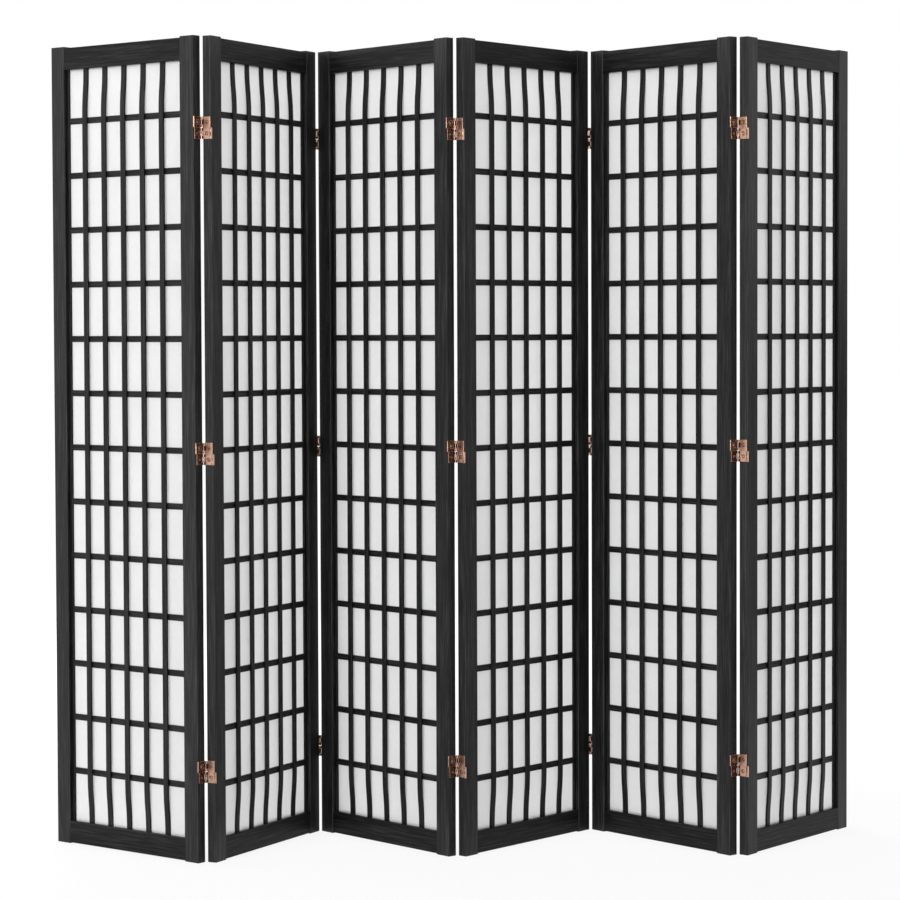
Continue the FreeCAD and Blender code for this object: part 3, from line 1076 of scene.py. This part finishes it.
# ---------------------------------------------------------------- lattice
@dataclass
class Lattice(PanelPart):
    """The slats of one panel: sprung uprights over cross slats and side slats."""

    arris: float = 0.0007
    arris_support: float = 0.0006
    bend_rings: int = 13

    def bar(self, path: Array, run: Run, rng: np.random.Generator) -> Shell:
        """One slat: a rounded rectangle carried along a path.

        Args:
            path: Middle line of the slat, in the panel's frame.
            run: Whether the slat stands or lies.
            rng: Source of the slat's grain.

        Returns:
            The slat, with the values that the wood finish reads.
        """
        section = (self.sizes.slat_width, self.sizes.slat_thickness)
        profile, _ = rounded_outline(section, self.arris, self.arris_support)
        side, distance = ([1, 0, 0], path[:, 2]) if run is Run.UPRIGHT else ([0, 0, 1], path[:, 0])
        grid = carried(profile, path, np.array(side), np.array([0, 1, 0]))
        rows, loop = grid.shape[:2]
        offset = np.column_stack([np.tile(profile, (rows, 1)), np.repeat(distance - distance.mean(), loop)])
        found = stick_values(offset, np.array([*section, np.ptp(distance)]), rng)
        values = {key: value.reshape(rows, loop, *value.shape[1:]) for key, value in found.items()}
        return capped_tube(grid, values)

    def sprung_line(self, u: float) -> Array:
        """Middle line of an upright slat.

        Its ends lie in the back layer. Between a rail and the nearest cross slat it comes
        forward by a long S of two equal bends: 2 t t over the first half of the rise and
        1 - 2 (1 - t)(1 - t) over the second, for t from 0 to 1.

        Args:
            u: Where the slat stands.

        Returns:
            Points of shape (n, 3), from the bottom to the top.
        """
        size = self.sizes
        cross = size.cross_middles()
        low, high = size.opening_z
        t = np.linspace(0, 1, self.bend_rings)
        rise = np.where(t < 0.5, 2 * t * t, 1 - 2 * (1 - t) ** 2)
        start = low + size.seat_flat
        end = cross[0] - size.slat_width / 2 - size.rise_clear
        bottom_z = start + t * (end - start)
        top_z = (low + high) - bottom_z[::-1]
        z = np.concatenate([size.seated_z[:1], bottom_z, cross, top_z, size.seated_z[1:]])
        forward = np.concatenate([[0], rise, np.ones(len(cross)), rise[::-1], [0]])
        depth = size.back_layer + forward * (size.front_layer - size.back_layer)
        return np.column_stack([np.full(len(z), u), depth, z])

    def straight_line(self, start: Pair, end: Pair) -> Array:
        """Middle line of a slat in the back layer, from (u, z) to (u, z)."""
        depth = self.sizes.back_layer
        return np.array([(start[0], depth, start[1]), (end[0], depth, end[1])])

    def build(self, finish: bpy.types.Material, rng: np.random.Generator) -> list[bpy.types.Object]:
        """Makes the upright slats and the cross and side slats.

        Args:
            finish: The wood finish.
            rng: Source of each slat's grain.

        Returns:
            The two pieces.
        """
        size = self.sizes
        low, high = size.seated_z
        half = size.slat_width / 2
        left, right = size.opening_u[0] + size.side_slat_show, size.opening_u[1] - size.side_slat_show
        uprights = [self.bar(self.sprung_line(u), Run.UPRIGHT, rng) for u in size.upright_middles()]
        lines = [(self.straight_line((left, z), (right, z)), Run.ACROSS) for z in size.cross_middles()]
        lines += [(self.straight_line((u, low), (u, high)), Run.UPRIGHT) for u in (left - half, right + half)]
        backs = [self.bar(line, run, rng) for line, run in lines]
        return [
            self.piece("upright_slats", uprights, finish, "front_slats"),
            self.piece("cross_slats", backs, finish, "back_slats"),
        ]


# ---------------------------------------------------------------- paper
@dataclass
class PaperSheet(PanelPart):
    """The sheet of paper behind one panel's lattice, stretched and slightly cockled."""

    thickness: float = 0.00025
    cockle: float = 0.00035
    cockle_range: Pair = (-0.5, 1.0)
    steps_across: int = 6
    steps_up: int = 10

    @staticmethod
    def pane_lines(ends: Pair, middles: Array, steps: int, panes: int) -> tuple[Array, Array, Array]:
        """Lines of the sheet's grid one way, with so many steps between neighbouring slats.

        Args:
            ends: The sheet's two edges.
            middles: Middle of each slat between them.
            steps: Number of steps across a pane.
            panes: Number of panes.

        Returns:
            Place of each line, number of its pane, and its share of the way across the pane.
        """
        stops = np.concatenate([ends[:1], middles, ends[1:]])
        parts = [np.linspace(a, b, steps, endpoint=False) for a, b in zip(stops[:-1], stops[1:])]
        lines = np.concatenate([*parts, ends[1:]])
        pane = np.minimum(np.arange(len(lines)) // steps, panes - 1)
        return lines, pane, np.arange(len(lines)) / steps - pane

    def build(self, finish: bpy.types.Material, rng: np.random.Generator) -> bpy.types.Object:
        """Makes the sheet as a grid.

        Each pane's paper stands off the flat by its own random height times
        sin(pi a)^2 sin(pi b)^2, where a and b run from 0 to 1 across the pane, so that it lies
        flat along every slat.

        Args:
            finish: The paper finish.
            rng: Source of the panes' heights and of the paper's pattern.

        Returns:
            The piece.
        """
        size = self.sizes
        u, column, a = self.pane_lines(size.seated_u, size.upright_middles(), self.steps_across, size.columns)
        z, row, b = self.pane_lines(size.seated_z, size.cross_middles(), self.steps_up, size.rows)
        heights = rng.uniform(*self.cockle_range, (size.rows, size.columns)) * self.cockle
        rise = heights[row][:, column] * np.outer(np.sin(np.pi * b) ** 2, np.sin(np.pi * a) ** 2)
        grid_u, grid_z = np.meshgrid(u, z)
        points = np.stack([grid_u, size.paper_depth + rise, grid_z], axis=-1).reshape(-1, 3)
        flat_points = np.column_stack([points[:, 0], points[:, 2], np.zeros(len(points))])
        values = {"sheet": flat_points + rng.uniform(0, PATTERN_SHIFT, 3)}
        shell = Shell(points, grid_quads(len(z), len(u), False, False), [], values)
        piece = self.piece("paper_sheet", [shell], finish, "paper")
        body = piece.modifiers.new("paper_body", "SOLIDIFY")
        body.thickness = self.thickness
        body.offset = 0.0
        flat = (size.seated_u[1] - size.seated_u[0], size.seated_z[1] - size.seated_z[0])
        self.named("cross_slats")
        return piece


# ---------------------------------------------------------------- hinges
@dataclass
class TwoWayHinge:
    """One two-way hinge, about the middle of the gap between two straight panels.

    x runs across the gap from the left panel to the right one, y from front to back, z up.
    A rim is the painted shade (negative) or painted highlight (positive) round a plate's hole and the
    distance over which it fades. The rows of a screw are (share of the recess or inset from the head's rim,
    depth, wear). Every hinge piece keeps a wear value that is partly real rubbing and patina and partly
    painted highlight and painted shade.
    """

    sizes: HingeSizes
    gap: float
    panel_thickness: float
    plate_arris: float = 0.00012
    plate_support: float = 0.0004
    plate_side_points: int = 3
    # Leaf rim: painted shade round the countersink. Link rim: painted highlight, partly rubbing, round the
    # access hole.
    leaf_rim: Pair = (-1.0, 0.0016)
    link_rim: Pair = (1.0, 0.0012)
    eye_arris: float = 0.00015
    eye_support: float = 0.0003
    eye_rings: int = 34
    tab_rings: int = 8
    tab_overlap: float = 0.0004
    leaf_eye_turn: float = math.radians(298)
    link_eye_turn: float = math.radians(262)
    # Eye shading: painted shade over the curl, partly patina, with painted highlights, partly rubbing, on its
    # proud lines and rounded edges.
    hollow_wear_and_shade: float = -0.5
    proud_wear_and_highlight: float = 1.9
    proud_turns: Pair = (1.65, 4.5)
    proud_spread: float = 0.5
    edge_wear_and_highlight: float = 0.35
    pin_points: int = 20
    pin_soft: float = 0.0003
    pin_end_share: float = 0.5
    pin_rise_share: float = 0.1
    recess_reach: float = 0.62
    recess_half: float = 0.00042
    # Screw rows: painted shade in the recess and towards the head's rim, and painted highlight, partly
    # rubbing, at the recess's mouth and on the head.
    recess_rows: tuple[Triple, ...] = (
        (0.30, 0.00095, -0.8), (0.78, 0.00085, -0.8), (1.0, 0.00012, -0.2), (1.08, 0.0, 1.0),
    )
    head_rows: tuple[Triple, ...] = ((0.0009, -0.00004, 0.6), (0.0003, 0.0, -0.7), (0.0, 0.00012, -1.0))
    point_radius: float = 0.0003
    point_length: float = 0.003

    @property
    def axis_offset(self) -> float:
        """Distance of a pivot axis from the hinge's middle."""
        return self.panel_thickness / 2 + self.sizes.axis_proud

    @property
    def plate_half_width(self) -> float:
        """Half the width of a leaf's or link's flat plate."""
        return self.axis_offset - self.sizes.eye_radius - self.sizes.eye_clear

    @staticmethod
    def leaf_axis(side: Side, half: Half) -> Axis:
        """The axis that a leaf's eyes are on in a half: the halves swap, and so do the sides."""
        return Axis.FRONT if side.value * half.value == -1 else Axis.BACK

    def plate_rows(self, hole: Pair, depth: Pair, rim: Pair) -> list[tuple[float, float, float, float]]:
        """Rows of a plate's surface, from the hole's back rim out over the front face and back.

        Args:
            hole: Radius of the hole at the back face and at the front face.
            depth: x of the back face and of the front face.
            rim: Painted shade (negative) or painted highlight (positive) round the hole's front edge, and how
                wide it fades.

        Returns:
            Rows of (hole radius, or 0 for a row on the outline, inset from there, x, wear): painted shade on
                the hole's wall, the rim's value round the hole, and a painted highlight, partly rubbing, on
                the plate's outline edge.
        """
        back, front = depth
        arris = math.copysign(self.plate_arris, back - front)
        # Painted shade on the hole's wall, the rim's painted shade or highlight round it, and a painted
        # highlight, partly rubbing, on the outline's edge.
        return [
            (hole[0], 0.0, back, -1.0),
            (hole[1], 0.0, front + arris, -1.0),
            (hole[1] + self.plate_arris, 0.0, front, rim[0]),
            (hole[1] + self.plate_support, 0.0, front, rim[0]),
            (hole[1] + rim[1], 0.0, front, 0.0),
            (0.0, 3 * self.plate_support, front, 0.0),
            (0.0, self.plate_support, front, 0.3),
            (0.0, self.plate_arris, front, 1.0),
            (0.0, 0.0, front + arris, 1.0),
            (0.0, 0.0, back - arris, 0.0),
            (0.0, self.plate_arris, back, 0.0),
        ]

    def holed_plate(self, half: Half, low: float, hole: Pair, depth: Pair, rim: Pair, joins: bool) -> Shell:
        """Flat plate of one half of the hinge, with a round hole at the screw's height.

        Each row of its grid is a loop: round the hole it is a circle, and at the rim it is the
        plate's rounded outline drawn in by the row's inset. Points at the same angle join up.

        Args:
            half: Upper or lower.
            low: Height at which the plate starts, from the hinge's middle.
            hole: Radius of the hole at the back face and at the front face.
            depth: x of the back face and of the front face.
            rim: Painted shade or painted highlight round the hole's front edge, and how wide it fades.
            joins: Whether the plate goes on into the other half, so that it isn't drawn in there.

        Returns:
            The plate.
        """
        middle = (low + self.sizes.half_high) / 2
        size = np.array([2 * self.plate_half_width, self.sizes.half_high - low])
        seam = -size[1] / 2
        corner = 2 * self.plate_arris
        outline, _ = rounded_outline(tuple(size), corner, self.plate_support, self.plate_side_points)
        hole_middle = np.array([0, self.sizes.screw_level - middle])
        direction = outline - hole_middle
        direction = direction / np.linalg.norm(direction, axis=1, keepdims=True)
        if joins:
            near_seam = outline[:, 1] < seam + corner
            at_side = near_seam & (np.abs(outline[:, 0]) > self.plate_half_width - corner)
            outline[near_seam, 1] = seam
            outline[at_side, 0] = np.sign(outline[at_side, 0]) * self.plate_half_width
        rows, wear_and_shading_rows = [], []
        for radius, inset, x, wear in self.plate_rows(hole, depth, rim):
            loop = direction * radius + hole_middle if radius else outline * (1 - inset / (size / 2))
            if joins and not radius:
                loop[:, 1] = seam + (outline[:, 1] - seam) * (size[1] - inset) / size[1]
            z = half.value * (loop[:, 1] + middle)
            rows.append(np.column_stack([np.full(len(loop), x), loop[:, 0], z]))
            wear_and_shading_rows.append(np.full(len(loop), wear))
        quads = grid_quads(len(rows), len(outline), True, True)
        return Shell(np.vstack(rows), quads, [], {"wear": np.concatenate(wear_and_shading_rows)}).facing_out()

    @staticmethod
    def welded(halves: list[Shell]) -> Shell:
        """Two half plates made one: the walls between them go, and their points there merge.

        Args:
            halves: The half plates, which meet on z = 0.

        Returns:
            One closed shell.
        """
        both = Shell.joined(halves)
        at_seam = (np.abs(both.points[:, 2]) < WELD_DISTANCE)[both.quads].all(1)
        first, number = merged_points(both.points)
        corners = [list(dict.fromkeys(quad)) for quad in number[both.quads[~at_seam]].tolist()]
        quads = np.array([face for face in corners if len(face) == 4])
        caps = [np.array(face) for face in corners if len(face) == 3]
        return Shell(both.points[first], quads, caps, {"wear": both.values["wear"][first]})

    def eye(self, plate_x: float, axis: Axis, heights: Pair, turn: float) -> Shell:
        """Eye rolled from a tab of the plate: a rounded strip carried along a curl.

        The curl leaves the plate straight, eases sideways onto a circle about the pivot axis, and goes round
        it by the given turn. Its wear value is a painted shade over the whole eye, partly patina, plus a
        painted highlight, partly rubbing, in a hump exp(-((angle - proud turn) / spread)^2) on its outermost
        and innermost lines, and a further painted highlight, partly rubbing, on the strip's rounded edges.

        Args:
            plate_x: Middle of the plate, from the hinge's middle.
            axis: Which pivot axis the eye is on.
            heights: Lowest and highest z of the eye.
            turn: How far the strip goes round the pin, in radians.

        Returns:
            The eye.
        """
        size = self.sizes
        wall = size.eye_radius - size.pin_radius - size.pin_clear
        radius = size.eye_radius - wall / 2
        tab_root = self.plate_half_width - self.tab_overlap
        rise = np.linspace(0, 1, self.tab_rings, endpoint=False)
        ease = rise * rise * (3 - 2 * rise)
        angle = np.linspace(0, turn, self.eye_rings)
        x = np.concatenate([abs(plate_x) + ease * (radius - abs(plate_x)), radius * np.cos(angle)])
        tab_y = tab_root + rise * (self.axis_offset - tab_root)
        y = np.concatenate([tab_y, self.axis_offset + radius * np.sin(angle)])
        level = np.full(len(x), sum(heights) / 2)
        path = np.column_stack([math.copysign(1, plate_x) * x, axis.value * y, level])
        tangent = np.gradient(path, axis=0)
        tangent = tangent / np.linalg.norm(tangent, axis=1, keepdims=True)
        normal = np.column_stack([-tangent[:, 1], tangent[:, 0], np.zeros(len(x))])
        profile, rounds = rounded_outline((wall, heights[1] - heights[0]), self.eye_arris, self.eye_support)
        grid = carried(profile, path, normal, np.array([0, 0, 1]))
        turned = np.concatenate([np.zeros(len(rise)), angle])
        humps = [np.exp(-(((turned - proud) / self.proud_spread) ** 2)) for proud in self.proud_turns]
        # Painted shade over the whole curl, partly patina, with painted highlights, partly rubbing, on its
        # outermost and innermost lines and its rounded edges.
        brightened = self.hollow_wear_and_shade + self.proud_wear_and_highlight * sum(humps)
        return capped_tube(grid, {"wear": brightened[:, None] + self.edge_wear_and_highlight * rounds[None, :]})

    def eye_stretches(self, half: Half) -> list[Pair]:
        """Heights of the eyes in one half.

        Args:
            half: Upper or lower.

        Returns:
            Lowest and highest z of the inner leaf eye, the outer leaf eye and the link's eye.
        """
        size = self.sizes
        inner = (size.half_low, size.half_low + size.leaf_eye_length)
        outer = (size.half_high - size.leaf_eye_length, size.half_high)
        link = (inner[1] + size.eye_end_gap, outer[0] - size.eye_end_gap)
        return [tuple(sorted((half.value * low, half.value * high))) for low, high in (inner, outer, link)]

    def leaf(self, side: Side) -> list[Shell]:
        """Plate screwed to a panel's edge, with two eyes at opposite corners of each half.

        Args:
            side: The panel that it is screwed to.

        Returns:
            The plate and its four eyes.
        """
        size = self.sizes
        depth = (side.value * self.gap / 2, side.value * (self.gap / 2 - size.plate))
        hole = (size.screw_shank + size.screw_clear, size.screw_head + size.screw_clear)
        halves = [self.holed_plate(half, 0.0, hole, depth, self.leaf_rim, True) for half in Half]
        eyes = [
            self.eye(sum(depth) / 2, self.leaf_axis(side, half), heights, self.leaf_eye_turn)
            for half in Half
            for heights in self.eye_stretches(half)[:2]
        ]
        return [self.welded(halves), *eyes]

    def link(self, half: Half, side: Side) -> list[Shell]:
        """Plate between the two pivot axes, lying against the leaf on the given side.

        Args:
            half: Upper or lower.
            side: The panel that it lies against.

        Returns:
            The plate and its two eyes.
        """
        size = self.sizes
        back = side.value * (self.gap / 2 - size.plate - size.plate_clear)
        depth = (back, back - side.value * size.plate)
        hole = (size.access_hole, size.access_hole)
        plate = self.holed_plate(half, size.half_low, hole, depth, self.link_rim, False)
        heights = self.eye_stretches(half)[2]
        return [plate] + [self.eye(sum(depth) / 2, axis, heights, self.link_eye_turn) for axis in Axis]

    def pin(self, axis: Axis, half: Half) -> Shell:
        """Pivot pin through the eyes of one half: a circle carried up, small at its soft ends.

        Args:
            axis: Which pivot axis it is on.
            half: Upper or lower.

        Returns:
            The pin.
        """
        size = self.sizes
        soft, radius = self.pin_soft, size.pin_radius
        end_radii = np.array([self.pin_end_share * radius, radius - soft, radius])
        end_heights = np.array([0, self.pin_rise_share * soft, soft])
        # Painted highlight, partly rubbing, on the ring where each soft end meets the side.
        end_wear_and_highlight = np.array([0, 1, 0])
        radii, wear = (np.concatenate([end, end[::-1]]) for end in (end_radii, end_wear_and_highlight))
        heights = np.concatenate([end_heights, size.half_high - size.half_low - end_heights[::-1]])
        angle = np.linspace(0, 2 * np.pi, self.pin_points, endpoint=False)
        ring = np.column_stack([np.cos(angle), np.sin(angle), np.zeros(len(angle))])
        foot = min(half.value * size.half_low, half.value * size.half_high)
        middle_line = np.array([0, axis.value * self.axis_offset, foot]) + heights[:, None] * [0, 0, 1]
        grid = middle_line[:, None] + radii[:, None, None] * ring
        return capped_tube(grid, {"wear": np.tile(wear[:, None], (1, len(angle)))})

    def recess_outline(self) -> Array:
        """Outline of the screw's cross recess: a quarter of it turned four times.

        Returns:
            Points of shape (36, 2), each straight edge in three parts.
        """
        arm, half = self.recess_reach * self.sizes.screw_head, self.recess_half
        quarter = np.array([(arm, -half), (arm, half), (half, half)])
        turn = np.array([[0, 1], [-1, 0]])
        corners = np.vstack([quarter @ np.linalg.matrix_power(turn, k) for k in range(4)])
        after = np.roll(corners, -1, axis=0)
        share = np.arange(3)[None, :, None] / 3
        return (corners[:, None] + share * (after - corners)[:, None]).reshape(-1, 2)

    def screw(self, side: Side, half: Half) -> Shell:
        """Countersunk screw with a cross recess, driven into the panel's edge.

        Each row of its grid is a loop about the screw's axis: the recess outline at some scale,
        then circles at the same angles, from the recess's floor over the head to the point.

        Args:
            side: The panel that it is driven into.
            half: Upper or lower.

        Returns:
            The screw.
        """
        size = self.sizes
        recess = self.recess_outline()
        circle = recess / np.linalg.norm(recess, axis=1, keepdims=True)
        # Painted shade in the recess and at the head's rim, painted highlight at the recess's mouth and on
        # the head.
        rows = [(recess * share, deep, wear) for share, deep, wear in self.recess_rows]
        rows += [(circle * (size.screw_head - inset), deep, wear) for inset, deep, wear in self.head_rows]
        rows += [
            (circle * size.screw_shank, size.plate, -1.0),
            (circle * size.screw_shank, size.screw_length - self.point_length, -1.0),
            (circle * self.point_radius, size.screw_length, -1.0),
        ]
        loops, depths, wear_and_shading_rows = (np.array(part) for part in zip(*rows))
        x = side.value * (self.gap / 2 - size.plate) + side.value * depths
        across = np.repeat(x[:, None], len(recess), axis=1)
        grid = np.stack([across, loops[..., 0], loops[..., 1] + half.value * size.screw_level], axis=-1)
        return capped_tube(grid, {"wear": np.repeat(wear_and_shading_rows[:, None], len(recess), axis=1)})


@dataclass
class HingeSet(PanelPart):
    """All hinge pieces that ride with one panel."""

    hinge: TwoWayHinge
    # Painted shade: taken off the wear value of plates on panels' right edges, which face away from the key
    # light.
    painted_side_shade: float = -0.9

    def link_side(self, fold: int, half: Half) -> Side:
        """The side a link rides with: the leaf that its idle pivot is on.

        Folds 1, 3 and 5 point towards the viewer and turn about their back pivots, so their
        front pivots are idle. The others turn about their front pivots.

        Args:
            fold: Number of the fold, from the left.
            half: Upper or lower.

        Returns:
            The side.
        """
        idle = Axis.FRONT if fold % 2 == 1 else Axis.BACK
        return Side.LEFT if self.hinge.leaf_axis(Side.LEFT, half) is idle else Side.RIGHT

    def edges(self) -> list[tuple[int, Side, float]]:
        """Hinged edges: the fold's number, the panel's side of the hinge, and the gap's middle.

        Returns:
            One row for an end panel, two for the others.
        """
        half_gap = self.sizes.gap / 2
        found = [
            (self.number - 1, Side.RIGHT, -half_gap),
            (self.number, Side.LEFT, self.sizes.width + half_gap),
        ]
        return [row for row in found if 1 <= row[0] < self.sizes.count]

    def levels(self) -> Triple:
        """Heights of the hinges on an edge."""
        size, hinge = self.sizes, self.hinge.sizes
        return hinge.end_offset, size.height / 2 - hinge.middle_drop, size.height - hinge.end_offset

    def edge_shells(self, fold: int, side: Side) -> dict[str, list[Shell]]:
        """What one hinge has on this panel, with painted shade on the plates that sit on the panel's right
        edge, away from the key light.

        Args:
            fold: Number of the fold, from the left.
            side: The panel's side of the hinge.

        Returns:
            Kind of piece to its shells, about the hinge's middle.
        """
        hinge = self.hinge
        plates = {"leaves": hinge.leaf(side), "links": []}
        for half in Half:
            if self.link_side(fold, half) is side:
                plates["links"] += hinge.link(half, side)
        # Painted shade on the plates of the panel's right edge.
        if side is Side.LEFT:
            for shell in plates["leaves"] + plates["links"]:
                shell.values["wear"] = shell.values["wear"] + self.painted_side_shade
        pins = [hinge.pin(hinge.leaf_axis(side, half), half) for half in Half]
        return plates | {"pins": pins, "screws": [hinge.screw(side, half) for half in Half]}

    def build(self, finishes: Finishes) -> list[bpy.types.Object]:
        """Makes the leaves, the crossed links, the pivot pins and the screws.

        Args:
            finishes: The screen's finishes.

        Returns:
            The four pieces.
        """
        words = {
            "leaves": "leaf_plates",
            "links": "crossed_links",
            "pins": "pivot_pins",
            "screws": "cross_screws",
        }
        found: dict[str, list[Shell]] = {kind: [] for kind in words}
        for fold, side, middle in self.edges():
            group = self.edge_shells(fold, side)
            for level in self.levels():
                offset = np.array([middle, self.sizes.thickness / 2, level])
                for kind, shells in group.items():
                    found[kind] += [shell.moved(offset) for shell in shells]
        pieces = []
        for kind, shells in found.items():
            finish = finishes.screw if kind == "screws" else finishes.hinge
            pieces.append(self.piece(words[kind], shells, finish, f"hinge_{kind}"))
        return pieces


# ---------------------------------------------------------------- the whole screen
@dataclass
class FoldingScreen:
    """Six hinged panels, each riding on its own body."""

    sizes: PanelSizes = field(default_factory=PanelSizes)
    hinge_sizes: HingeSizes = field(default_factory=HingeSizes)

    def panel(self, number: int, finishes: Finishes, rng: np.random.Generator) -> None:
        """Makes one panel and sets its pieces on their body.

        Args:
            number: The panel's number, from the left.
            finishes: The screen's finishes.
            rng: Source of grain and cockle.
        """
        place = PanelPlace.of_sheet(f"panel_{number}_paper", self.sizes)
        part = (number, self.sizes, place)
        hinge = TwoWayHinge(self.hinge_sizes, self.sizes.gap, self.sizes.thickness)
        wood = PanelFrame(*part).build(finishes, rng)
        slats = Lattice(*part).build(finishes.slat_wood, rng)
        paper = PaperSheet(*part).build(finishes.paper, rng)
        *plates, screws = HingeSet(*part, hinge).build(finishes)
        slots = {
            "stained_frame_wood": wood,
            "stained_slat_wood": slats,
            "shoji_paper": [paper],
            "hinge_metal": plates,
            "screw_metal": [screws],
        }
        for slot, pieces in slots.items():
            for piece in pieces:
                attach(piece, f"panel_{number}")
                LOG.info("made %s with %d points", piece.name, len(piece.data.vertices))

    def build(self) -> None:
        """Makes every panel from the left to the right."""
        finishes = Finishes.build()
        rng = np.random.default_rng(RANDOM_SEED)
        for number in range(1, self.sizes.count + 1):
            self.panel(number, finishes, rng)


# ---------------------------------------------------------------- studio
@dataclass(frozen=True)
class SoftBox:
    """A square studio lamp aimed at a point."""

    name: str
    place: Triple
    aim: Triple
    width: float
    power: float

    def build(self) -> None:
        """Hangs the lamp, with its face square to the line to its aim."""
        lamp = bpy.data.lights.new(self.name, "AREA")
        lamp.shape = "SQUARE"
        lamp.size = self.width
        lamp.energy = self.power
        hung = bpy.data.objects.new(self.name, lamp)
        bpy.context.scene.collection.objects.link(hung)
        hung.location = self.place
        hung.rotation_euler = (Vector(self.aim) - Vector(self.place)).to_track_quat("-Z", "Y").to_euler()


@dataclass(frozen=True)
class PhotoCamera:
    """The camera, a long way in front of the screen and looking slightly down."""

    place: Triple = (-0.0158, -6.346, 1.1608)
    yaw: float = math.radians(-0.031)
    pitch: float = math.radians(2.109)
    roll: float = math.radians(-0.207)
    focal_pixels: float = 2844.7
    image_pixels: float = 900.0
    film_width: float = 36.0
    rise: float = -0.02
    clip_end: float = 100.0

    def build(self) -> None:
        """Sets up the camera: forward is +Y turned by yaw and pitch, then rolled about it."""
        data = bpy.data.cameras.new("photo_camera")
        data.sensor_width = self.film_width
        data.lens = self.focal_pixels / self.image_pixels * self.film_width
        data.shift_y = self.rise
        data.clip_end = self.clip_end
        camera = bpy.data.objects.new("photo_camera", data)
        bpy.context.scene.collection.objects.link(camera)
        level = Matrix.Rotation(math.radians(90), 4, "X")
        turn = Matrix.Rotation(self.yaw, 4, "Z") @ Matrix.Rotation(-self.pitch, 4, "X")
        roll = Matrix.Rotation(-self.roll, 4, "Y")
        camera.matrix_world = Matrix.Translation(self.place) @ turn @ roll @ level
        bpy.context.scene.camera = camera


@dataclass(frozen=True)
class Studio:
    """Plain white studio: floor, backdrop light, lamps and camera."""

    ambient: float = 0.44
    floor_half: float = 30.0
    boxes: tuple[SoftBox, ...] = (
        SoftBox("key_box", (-4.9, -6.6, 2.1), (0.0, 0.0, 0.7), 3.4, 312.0),
        SoftBox("fill_box", (3.6, -4.6, 2.4), (0.0, 0.0, 0.8), 2.4, 30.0),
        SoftBox("top_box", (0.0, -1.6, 4.2), (0.0, 0.0, 1.0), 2.4, 20.0),
        SoftBox("back_box", (-1.5, 4.4, 2.0), (0.0, 0.0, 0.7), 2.4, 120.0),
        SoftBox("side_box", (-4.4, 2.2, 2.6), (0.0, 0.0, 0.9), 2.4, 40.0),
    )
    flag_x: float = 2.3
    flag_y: Pair = (0.55, 2.4)
    flag_z: Pair = (0.02, 1.3)

    def build_world(self) -> None:
        """White to the camera and in reflections, plain soft light to everything else."""
        tree = ShaderTree(bpy.data.worlds.new("studio_white"))
        values = {"Value": tree.seen_mask(), "To Min": self.ambient, "To Max": 1.0}
        strength = tree.node("ShaderNodeMapRange", {}, values)["Result"]
        light = tree.node("ShaderNodeBackground", {}, {"Color": (*WHITE, 1.0), "Strength": strength})
        bpy.context.scene.world = tree.finish(light, "ShaderNodeOutputWorld")

    def card(self, name: str, corners: list[Triple], finish: bpy.types.Material) -> bpy.types.Object:
        """One flat stage object.

        Args:
            name: Name of the object.
            corners: Its four corners, anticlockwise from its front.
            finish: Its material.

        Returns:
            The object.
        """
        shell = Shell(np.array(corners), np.array([[0, 1, 2, 3]]))
        card = make_piece(name, make_mesh(name, shell), finish)
        return card

    def build_floor(self) -> None:
        """A wide flat floor just under the stiles."""
        half = self.floor_half
        corners = [(-half, -half, 0.0), (half, -half, 0.0), (half, half, 0.0), (-half, half, 0.0)]
        self.card("studio_floor", corners, StudioFloor().build())

    def build_flag(self) -> None:
        """Dark card at the right, seen only in gloss, that calms the last panel's shine."""
        (near, far), (low, high), x = self.flag_y, self.flag_z, self.flag_x
        corners = [(x, far, low), (x, near, low), (x, near, high), (x, far, high)]
        flag = self.card("studio_flag", corners, DarkCard().build())
        flag.visible_camera = False
        flag.visible_diffuse = False
        flag.visible_transmission = False
        flag.visible_shadow = False

    def build(self) -> None:
        """Makes the whole studio."""
        PhotoCamera().build()
        self.build_world()
        self.build_floor()
        self.build_flag()
        for box in self.boxes:
            box.build()
        bpy.context.scene.view_settings.view_transform = "Standard"


def main() -> None:
    """Builds the studio and the screen."""
    logging.basicConfig(level=logging.INFO, format="%(message)s")
    Studio().build()
    FoldingScreen().build()


if __name__ == "__main__":
    main()
